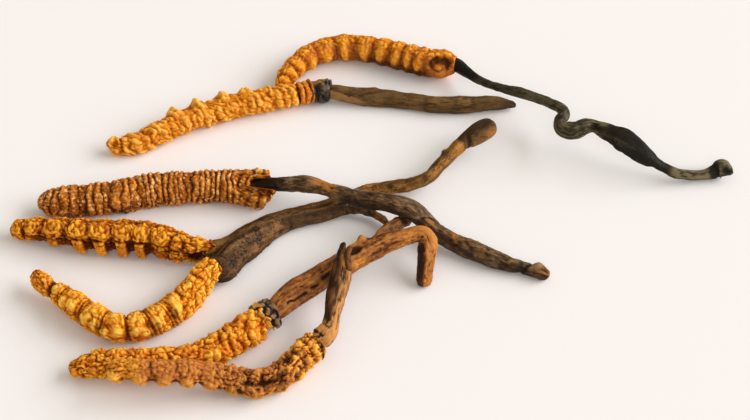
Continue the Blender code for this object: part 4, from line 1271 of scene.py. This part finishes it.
# %% [markdown]
# ## The sixth stalk: thick, fibrous, hooked
# The thickest stalk is orange-brown and fibrous. One long dark crack runs along its front, a knob
# stands beside a dark hole at its middle, and its end arches over and hooks down to the table.
# Where light catches the arch it gets a painted highlight, and the hook is painted dark as shade
# on one side and lighter orange as lit on the other.

# %% Stalk 6
SIXTH_STALK_LUMPS = [
    (1.05, 22.2, -92, 0.9, 1.0, 1.3), (0.35, 20.4, -76, 1.6, 0.9),
    (0.45, 34.4, -66, 1.3, 1.2, 1.4),
]


def sixth_stalk_skin(s, a, r):
    height = bark(s, a, 151, 0.17, 0.03, 12)
    height += lumps(s, a, r, SIXTH_STALK_LUMPS)
    crack_at = 22 - 3.0 * (s - 5) + 14 * drift(s, 1.3, 154)
    broken = smooth(0.9 + 0.9 * drift(s, 1.4, 157))
    crack = line(a, r, crack_at, 0.22) * window(s, 3.5, 17, 2) * broken
    height -= 0.40 * crack + 0.2 * line(a, r, crack_at + 40, 0.2) * window(s, 6, 11, 2)
    hole = away(s, a, r, 19.8 + 0.01 * a, -40, 1.5, 0.8)
    height -= 0.75 * np.exp(-(hole**4))
    hook = smooth((s - 34.0) / 1.5)
    edge = line(a, r, -4 + 14 * drift(s, 1.5, 158), 0.5) * hook
    height += 0.22 * edge
    rags, _ = crumbs(s, a, 1.2, 8, 155)
    height += 0.20 * (rags - 0.4) * (0.5 + 0.5 * smooth((s - 41) / 1.5))
    spots = flecks(s, a, 156, 1.2)
    # painted shade: the hook's side away from the light
    shaded_side = hook * window(a, 8, 150, 30)
    cloudy = smooth(0.5 + 0.9 * patches(s, a, 3.0, 5, 159))
    stain = 0.75 * crack + np.exp(-(hole**4)) + 0.70 * shaded_side
    stain += 0.20 * (1 - spots) + 0.12 * (1 - cloudy) + 0.4 * lump(s, a, r, 13.6, 14, 2.4, 1.2)
    stain += 0.4 * window(s, 15.5, 18.5, 2) * window(a, -60, 60, 30)
    # painted highlight on top of the arch
    blush = 0.55 * window(s, 28.5, 36, 3) * window(a, -150, 10, 40)
    # painted light on the hook's lit side
    blush += 0.55 * hook * window(a, -140, 4, 30)
    blush += 0.8 * window(s, 18, 30, 3) * window(a, 10, 100, 30) * spots
    blush += 0.45 * cloudy * (0.5 + 0.5 * spots)
    return height, stain, blush


stalk("stalk_6", sixth_stalk_skin)

# %% [markdown]
# ## The seventh stalk: a pale foot, a dark point
# It flares at its root into a pale, smooth foot, narrows, and climbs over the sixth stalk to a
# dark point. Its left side is painted dark as shade down its whole length and its right side is
# orange-brown and painted lighter as lit, with a groove between.

# %% Stalk 7
SEVENTH_STALK_LUMPS = [
    (0.30, 3.6, 40, 1.6, 1.2), (0.25, 3.0, -60, 1.2, 1.2), (-0.35, 7.5, -90, 1.6, 1.2),
    (0.3, 14, 88, 2.6, 1.4), (-0.2, 18.5, 80, 1.5, 1),
]


def seventh_stalk_skin(s, a, r):
    height = bark(s, a, 161, 0.15, 0.02, 10)
    height += lumps(s, a, r, SEVENTH_STALK_LUMPS)
    groove = line(a, r, 2 + 20 * drift(s, 2, 164), 0.7)
    height -= 0.20 * groove * window(s, 7, 20, 3)
    spots = flecks(s, a, 166)
    # painted shade: the left side, away from the light
    dark = window(a, -150, -8, 60) * window(s, 5.5, 24, 2)
    foot = window(s, 1, 6.0, 2)
    stain = 0.80 * dark * (1.15 - 0.4 * spots) + 0.7 * smooth((s - 19) / 3)
    collar = window(s, 0, 2.6, 0.8) * smooth(0.3 + patches(s, a, 0.8, 7, 167) * 2)
    scurf, _ = crumbs(s, a, 1.5, 8, 168)
    height += 0.22 * (scurf - 0.4) * smooth((7 - s) / 3)
    stain += 0.9 * collar + 0.15 * groove + 0.30 * (1 - spots) * (1 - foot)
    stain += 0.25 * foot * (1 - spots)
    blush = 0.85 * foot * (0.6 + 0.4 * spots)
    # painted light on the right side
    blush += 0.85 * window(a, 4, 140, 30) * window(s, 5, 19, 3) * (0.35 + 0.65 * spots)
    return height, stain, blush


stalk("stalk_7", seventh_stalk_skin)

# %% [markdown]
# ## The two side shoots
# The sixth and the seventh stalk each carry a short shoot. One is an orange stub with a dark
# spot, the other a thin prong. They are stalks like the rest, only with fewer points round them.

# %% Side shoots


def stub_skin(s, a, r):
    spot = lump(s, a, r, 10.2, 10, 1.1, 0.8, 1.5)
    spots = flecks(s, a, 176)
    blush = 0.8 * window(s, 0, 13, 2) * (1 - spot) * (0.5 + 0.5 * spots)
    return bark(s, a, 171, 0.14, 0.03, 6) - 0.12 * spot, 0.8 * spot + 0.4 * (1 - spots), blush


def prong_skin(s, a, r):
    stain = 0.3 * window(a, -150, 0, 30) + 0.4 * smooth((s - 4.5) / 1.5)
    return bark(s, a, 181, 0.10, 0.03, 5) * 0.8, stain, 0.6 * flecks(s, a, 182)


stalk("stalk_6_branch", stub_skin, 48)
stalk("stalk_7_branch", prong_skin, 32)
print("triangles in all:", sum(2 * len(piece.data.polygons) for piece in pieces.values()))

# %% [markdown]
# ## Riding on the frame
# Every finished piece stands for the solid of the same name, which is hidden, and rides on the
# bundle's one rigid body.

# %% Tell the frame
for name, piece in pieces.items():
    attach(piece, "root")
    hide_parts(name)
print(len(pieces), "pieces ride on the root")

# %% [markdown]
# ## Small helpers for node nets
# A material is a net of small nodes, whose sockets are wired to each other. The same few moves
# come back in every net: an empty group with named sockets, numbers to set, a soft step, a blend
# of two colours, a sum. Wired one by one they would fill pages, so each move gets a short helper,
# and the nets below read like recipes.

# %% Helpers for nodes
FLOAT, COLOUR, VECTOR = "NodeSocketFloat", "NodeSocketColor", "NodeSocketVector"


def new_group(name, inputs, outputs):
    """An empty shader node group with these sockets, and its two ends."""
    group = bpy.data.node_groups.new(name, "ShaderNodeTree")
    for way, sockets in (("INPUT", inputs), ("OUTPUT", outputs)):
        for title, kind in sockets.items():
            group.interface.new_socket(title, in_out=way, socket_type=kind)
    given, result = group.nodes.new("NodeGroupInput"), group.nodes.new("NodeGroupOutput")
    return group, given.outputs, result.inputs


def fill(node, values):
    """Sets sockets of a node by their titles."""
    for title, value in values.items():
        node.inputs[title].default_value = value


def step_node(tree, value, low, high):
    """A soft step of value between low and high, as a node."""
    node = tree.nodes.new("ShaderNodeMapRange")
    node.interpolation_type = "SMOOTHSTEP"
    fill(node, {"From Min": low, "From Max": high})
    tree.links.new(value, node.inputs["Value"])
    return node.outputs["Result"]


def blend_node(tree, share, first, second):
    """Two colours mixed by share."""
    node = tree.nodes.new("ShaderNodeMix")
    node.data_type = "RGBA"
    for socket, source in ((0, share), (6, first), (7, second)):  # its factor and its two colours
        tree.links.new(source, node.inputs[socket])
    return node.outputs[2]


def maths(tree, way, first, second):
    """One sum on two values, each a socket or a number."""
    node = tree.nodes.new("ShaderNodeMath")
    node.operation = way
    for socket, source in zip(node.inputs, (first, second)):
        if isinstance(source, (float, int)):
            socket.default_value = source
        else:
            tree.links.new(source, socket)
    return node.outputs[0]


print("kinds of socket:", FLOAT, COLOUR, VECTOR)

# %% [markdown]
# ## How the colours are laid on
# Dried skin takes its colour from its shape, and here light and shade are painted in as well:
# tops are golden, partly rubbed skin and partly a painted highlight, flanks are orange, and the
# creases are dark, partly from dust and residue and partly as painted shade. Each point already
# knows its height against its surroundings (`relief`), how dark it is stained or painted in shade
# (`stain`) and how far it turns to the piece's second colour (`blush`). A painted image would
# show its seams from other sides, so one node group turns those values into colour, and every
# material uses it with its own five dyes. Its mottle input breaks up the even steps.

# %% The colouring group
DIPS, TOPS = (0.0, 0.55), (0.40, 1.0)  # the relief over which creases end and tops begin
TOPS_ON_BLUSH = 0.35  # how strongly the tops show where the skin blushes
BLUSH_STEP, STAIN_STEP = (0.1, 0.9), (0.1, 1.0)  # over which each takes hold
DYES = ("Crease", "Flesh", "Ridge", "Blush", "Stain")
colouring, given, result = new_group(
    "dried_colour",
    dict.fromkeys(("Relief", "Stain", "Blush", "Mottle", "Mottle Amount"), FLOAT)
    | {place + " Colour": COLOUR for place in DYES},
    {"Colour": COLOUR},
)
centred = maths(colouring, "SUBTRACT", given["Mottle"], 0.5)
uneven = maths(colouring, "MULTIPLY", centred, given["Mottle Amount"])
level = maths(colouring, "ADD", given["Relief"], uneven)
# the crease colour in the dips is partly painted shade, the ridge colour on the tops partly a
# painted highlight
dips = step_node(colouring, level, *DIPS)
tops = step_node(colouring, level, *TOPS)
plain = blend_node(colouring, dips, given["Crease Colour"], given["Flesh Colour"])
plain = blend_node(colouring, tops, plain, given["Ridge Colour"])
second = blend_node(colouring, dips, given["Crease Colour"], given["Blush Colour"])
faint_tops = maths(colouring, "MULTIPLY", tops, TOPS_ON_BLUSH)
second = blend_node(colouring, faint_tops, second, given["Ridge Colour"])
blushing = maths(colouring, "ADD", given["Blush"], uneven)
mixed = blend_node(colouring, step_node(colouring, blushing, *BLUSH_STEP), plain, second)
# stain holds real stains and painted shade alike
staining = maths(colouring, "ADD", given["Stain"], uneven)
stained = step_node(colouring, staining, *STAIN_STEP)
coloured = blend_node(colouring, stained, mixed, given["Stain Colour"])
colouring.links.new(coloured, result["Colour"])
print("colouring group:", len(colouring.nodes), "nodes")

# %% [markdown]
# ## The fine grain
# Under the colours there is grain that is too small to model: a crumbly bloom on the larvae, and
# long fibres on the stalks. Both read `straight`, a place on the piece as if it were straightened
# out, so the grain follows every bend. One group serves for both. It takes the place already
# scaled, so crumbs come from an even scale and fibres from a scale that is long one way. It gives
# a mottle for the colour, a roughness and a height for the bump.

# %% The grain group
graining, given, result = new_group(
    "fine_grain",
    {"Place": VECTOR, "Dull": FLOAT, "Gloss Change": FLOAT},
    {"Mottle": FLOAT, "Roughness": FLOAT, "Height": FLOAT},
)


def cloud(tree, place, scale, detail):
    """A noise texture on that place."""
    node = tree.nodes.new("ShaderNodeTexNoise")
    fill(node, {"Scale": scale, "Detail": detail, "Roughness": 0.62})
    tree.links.new(place, node.inputs["Vector"])
    return node.outputs["Fac"]


coarse = cloud(graining, given["Place"], 0.55, 3.0)
fine = cloud(graining, given["Place"], 2.6, 4.0)
halves = [maths(graining, "MULTIPLY", layer, 0.5) for layer in (coarse, fine)]
both = maths(graining, "ADD", *halves)
graining.links.new(step_node(graining, both, 0.32, 0.68), result["Mottle"])
graining.links.new(fine, result["Height"])
centred = maths(graining, "SUBTRACT", coarse, 0.5)
change = maths(graining, "MULTIPLY", centred, given["Gloss Change"])
graining.links.new(maths(graining, "ADD", given["Dull"], change), result["Roughness"])
print("grain group:", len(graining.nodes), "nodes")

# %% [markdown]
# ## One finish
# A finish joins the two groups to the Principled shader. The grain goes in as mottle, roughness
# and bump, the notes of the mesh as relief, stain and blush, and five dyes give the colours. The
# dyes are written as a screen shows them, from 0 to 255, because that is how colours are mixed,
# and turned into the linear values that shaders count in. Larva skin also lets some light in,
# which comes out again reddish beside the creases.

# %% Build a finish
GLOSS_CHANGE = 0.3  # how far the roughness varies
GRAIN_HEIGHT = 0.15 * MM
GLOW_WEIGHT = 0.45
GLOW_REACH = (1.0, 0.40, 0.08)  # red light reaches farthest into the skin


def dye(red, green, blue):
    """A colour as a screen shows it, in the linear values that shaders use."""
    shown = (red / 255, green / 255, blue / 255)
    return (*(v / 12.92 if v <= 0.04045 else ((v + 0.055) / 1.055) ** 2.4 for v in shown), 1.0)


def read_note(tree, name, kind="Fac"):
    """The value that a mesh keeps at its points under that name."""
    node = tree.nodes.new("ShaderNodeAttribute")
    node.attribute_name = name
    return node.outputs[kind]


def placed_group(tree, group, values):
    """A node group set into a material, with its own values."""
    node = tree.nodes.new("ShaderNodeGroup")
    node.node_tree = group
    fill(node, values)
    return node


def finish(name, colours, dull, bump, sheen, fibres=(1.0, 1.0, 1.0), mottle=0.4, glow=0.0):
    """Puts a finish of dried skin or wood on a piece. colours run as in DYES. fibres scales the
    grain each way. glow is how far light passes through, in mm."""
    material = bpy.data.materials.new(name + "_finish")
    material.use_nodes = True
    tree = material.node_tree
    shader = tree.nodes["Principled BSDF"]
    stretch = tree.nodes.new("ShaderNodeMapping")
    fill(stretch, {"Scale": fibres})
    tree.links.new(read_note(tree, "straight", "Vector"), stretch.inputs["Vector"])
    grain = placed_group(tree, graining, {"Dull": dull, "Gloss Change": GLOSS_CHANGE})
    tree.links.new(stretch.outputs["Vector"], grain.inputs["Place"])
    dyes = {place + " Colour": dye(*colour) for place, colour in zip(DYES, colours)}
    paint = placed_group(tree, colouring, {"Mottle Amount": mottle, **dyes})
    for title in ("Relief", "Stain", "Blush"):
        tree.links.new(read_note(tree, title.lower()), paint.inputs[title])
    tree.links.new(grain.outputs["Mottle"], paint.inputs["Mottle"])
    raise_grain = tree.nodes.new("ShaderNodeBump")
    fill(raise_grain, {"Strength": bump, "Distance": GRAIN_HEIGHT})
    tree.links.new(grain.outputs["Height"], raise_grain.inputs["Height"])
    tree.links.new(paint.outputs["Colour"], shader.inputs["Base Color"])
    tree.links.new(grain.outputs["Roughness"], shader.inputs["Roughness"])
    tree.links.new(raise_grain.outputs["Normal"], shader.inputs["Normal"])
    fill(shader, {"Specular IOR Level": sheen})
    if glow:
        fill(shader, {"Subsurface Weight": GLOW_WEIGHT, "Subsurface Radius": GLOW_REACH})
        fill(shader, {"Subsurface Scale": glow * MM})
    pieces[name].data.materials.clear()
    pieces[name].data.materials.append(material)


print("a mid brown in linear values:", [round(v, 2) for v in dye(128, 84, 40)])

# %% [markdown]
# ## Skins and head shells
# Seven larvae dried in one place, yet no two have the same colour, so each has a finish of its
# own, with its own dyes from crease to stain. Dried skin is hardly glossy. The black heads are:
# what is left of them keeps the shine of a beetle's shell.

# %% Finish the larvae and heads
# the crease dye is partly painted shade and the ridge dye partly a painted highlight; the stain
# dye also paints shade
SKINS = {  # crease, flesh, ridge, blush and stain
    "larva_1": [(136, 68, 4), (204, 118, 20), (250, 176, 56), (196, 112, 46), (66, 30, 4)],
    "larva_2": [(160, 78, 6), (220, 136, 28), (252, 190, 84), (208, 116, 32), (70, 30, 4)],
    "larva_3": [(84, 34, 2), (162, 88, 20), (222, 146, 58), (248, 200, 130), (56, 24, 4)],
    "larva_4": [(96, 34, 0), (184, 98, 12), (252, 180, 54), (172, 84, 18), (46, 16, 2)],
    "larva_5": [(140, 58, 2), (228, 136, 20), (255, 202, 82), (200, 102, 26), (72, 30, 2)],
    "larva_6": [(136, 54, 0), (216, 126, 20), (252, 190, 70), (210, 112, 28), (84, 34, 4)],
    "larva_7": [(104, 46, 4), (212, 132, 36), (246, 182, 78), (184, 110, 52), (50, 24, 4)],
}
SHELL = [(12, 8, 4), (36, 25, 14), (100, 80, 58), (164, 112, 62), (12, 8, 4)]
CROWN = [(26, 14, 5), (72, 50, 30), (140, 108, 74), (248, 176, 64), (24, 16, 10)]
for name, colours in SKINS.items():
    finish(name, colours, dull=0.6, bump=0.6, sheen=0.06, glow=0.5)
finish("head_2", SHELL, dull=0.3, bump=0.3, sheen=0.3)
finish("head_6", CROWN, dull=0.5, bump=0.4, sheen=0.25)
print("finishes so far:", len(SKINS) + len(HEADS))

# %% [markdown]
# ## Bark
# The stalks run from nearly black to orange-brown. Their grain is long fibres: the same grain
# group, read at a third of the scale along the stalk. The fourth and the fifth stalk are the
# exception, because their bark has weathered to an even, grainy speckle.

# %% Finish the stalks
# the crease dye is partly painted shade and the ridge dye partly a painted highlight; the stain
# dye also paints shade
BARKS = {  # crease, flesh, ridge, blush and stain
    "stalk_1": [(24, 18, 8), (54, 46, 28), (122, 110, 80), (124, 110, 78), (24, 19, 11)],
    "stalk_2": [(60, 40, 18), (98, 70, 34), (130, 98, 54), (150, 108, 60), (62, 42, 22)],
    "stalk_3": [(32, 18, 7), (86, 60, 37), (154, 126, 88), (178, 114, 46), (32, 20, 10)],
    "stalk_4": [(56, 33, 10), (112, 74, 28), (160, 116, 54), (186, 122, 48), (56, 36, 12)],
    "stalk_5": [(38, 23, 9), (92, 62, 32), (142, 104, 60), (160, 102, 50), (44, 27, 11)],
    "stalk_6": [(54, 26, 8), (138, 78, 32), (194, 130, 62), (208, 132, 54), (50, 27, 9)],
    "stalk_7": [(46, 24, 8), (128, 78, 34), (188, 128, 64), (204, 142, 76), (44, 24, 9)],
    "stalk_6_branch": [(64, 36, 13), (118, 76, 38), (160, 108, 60), (172, 112, 56), (52, 32, 14)],
    "stalk_7_branch": [(46, 23, 7), (96, 54, 20), (140, 88, 44), (150, 92, 44), (44, 22, 7)],
}
FIBROUS = {"fibres": (0.34, 1.5, 1.5), "mottle": 0.75}
SPECKLED = {"fibres": (1.1, 1.6, 1.6), "mottle": 0.9}
for name, colours in BARKS.items():
    bark_grain = SPECKLED if name in ("stalk_4", "stalk_5") else FIBROUS
    finish(name, colours, dull=0.42, bump=1.15, sheen=0.12, **bark_grain)
print("finishes in all:", len(SKINS) + len(HEADS) + len(BARKS))

# %% [markdown]
# ## The table
# The bundle lies on a plain warm-white table. A single large plane is enough, a hair below the
# flattened undersides so that the two never share a face. It is stage, not part of the object.

# %% Floor
TABLE_SIZE = 4.0  # metres
HAIR = 0.02 * MM
bpy.ops.object.select_all(action="DESELECT")
bpy.ops.mesh.primitive_plane_add(size=TABLE_SIZE, location=(0.0, 0.0, -HAIR))
floor = bpy.context.object
floor.name = "floor"
paper = bpy.data.materials.new("warm_white_table")
paper.use_nodes = True
warm_white = {"Base Color": (0.90, 0.87, 0.83, 1.0), "Roughness": 0.8, "Specular IOR Level": 0.2}
fill(paper.node_tree.nodes["Principled BSDF"], warm_white)
floor.data.materials.append(paper)
print("the table is", TABLE_SIZE, "m wide")

# %% [markdown]
# ## Light
# The light is a broad, low window to the right, so shadows are long, soft and fall to the left. A
# far, large area light gives that, and being far away it lights the whole table evenly. A weaker
# and smaller one in front stands for a second window. Both are faintly blue, like daylight, and
# the surround stands for the walls and is warm and pale: where the windows don't reach, it alone
# fills the shadows, so they turn warm.

# %% Windows and surround
WINDOW_DISTANCE = 6.0  # metres
DAYLIGHT = (0.934, 0.931, 1.0)


def window_light(name, azimuth, elevation, width, height, power):
    """A rectangular area light in that direction, aimed at the middle of the bundle."""
    turn, rise = math.radians(azimuth), math.radians(elevation)
    across = math.cos(rise)
    way = Vector((across * math.cos(turn), across * math.sin(turn), math.sin(rise)))
    facing = (-way).to_track_quat("-Z", "Y").to_euler()
    bpy.ops.object.light_add(type="AREA", location=WINDOW_DISTANCE * way, rotation=facing)
    lamp = bpy.context.object
    lamp.name = name
    lamp.data.shape = "RECTANGLE"
    lamp.data.size, lamp.data.size_y = width, height
    lamp.data.energy = power
    lamp.data.color = DAYLIGHT
    print(name, round(power), "watts")


window_light("window", azimuth=4, elevation=31, width=6.6, height=4.0, power=464.0)
window_light("front_window", azimuth=-90, elevation=42, width=3.0, height=2.4, power=71.3)
surround = bpy.data.worlds.new("pale_room")
surround.use_nodes = True
fill(surround.node_tree.nodes["Background"], {"Color": (1.0, 0.94, 0.82, 1.0), "Strength": 0.46})
bpy.context.scene.world = surround
bpy.context.scene.view_settings.view_transform = "Standard"

# %% [markdown]
# ## Camera
# The bundle is seen from the front at 45 degrees, from not quite 40 cm away. The lens is set so
# that the frame is as wide as the picture at the bundle's distance.

# %% Camera
VIEW_DISTANCE = 385 * MM
VIEW_TILT = math.radians(45)
bpy.ops.object.camera_add(location=tuple(FACING * VIEW_DISTANCE), rotation=(VIEW_TILT, 0.0, 0.0))
camera = bpy.context.object  # it looks straight at the middle of the frame
camera.name = "camera"
camera.data.sensor_width = 36.0  # mm, as is the lens
camera.data.lens = 100.8
camera.data.clip_start = 10 * MM
bpy.context.scene.camera = camera
print("camera at", tuple(round(v * 1000) for v in camera.location), "mm")
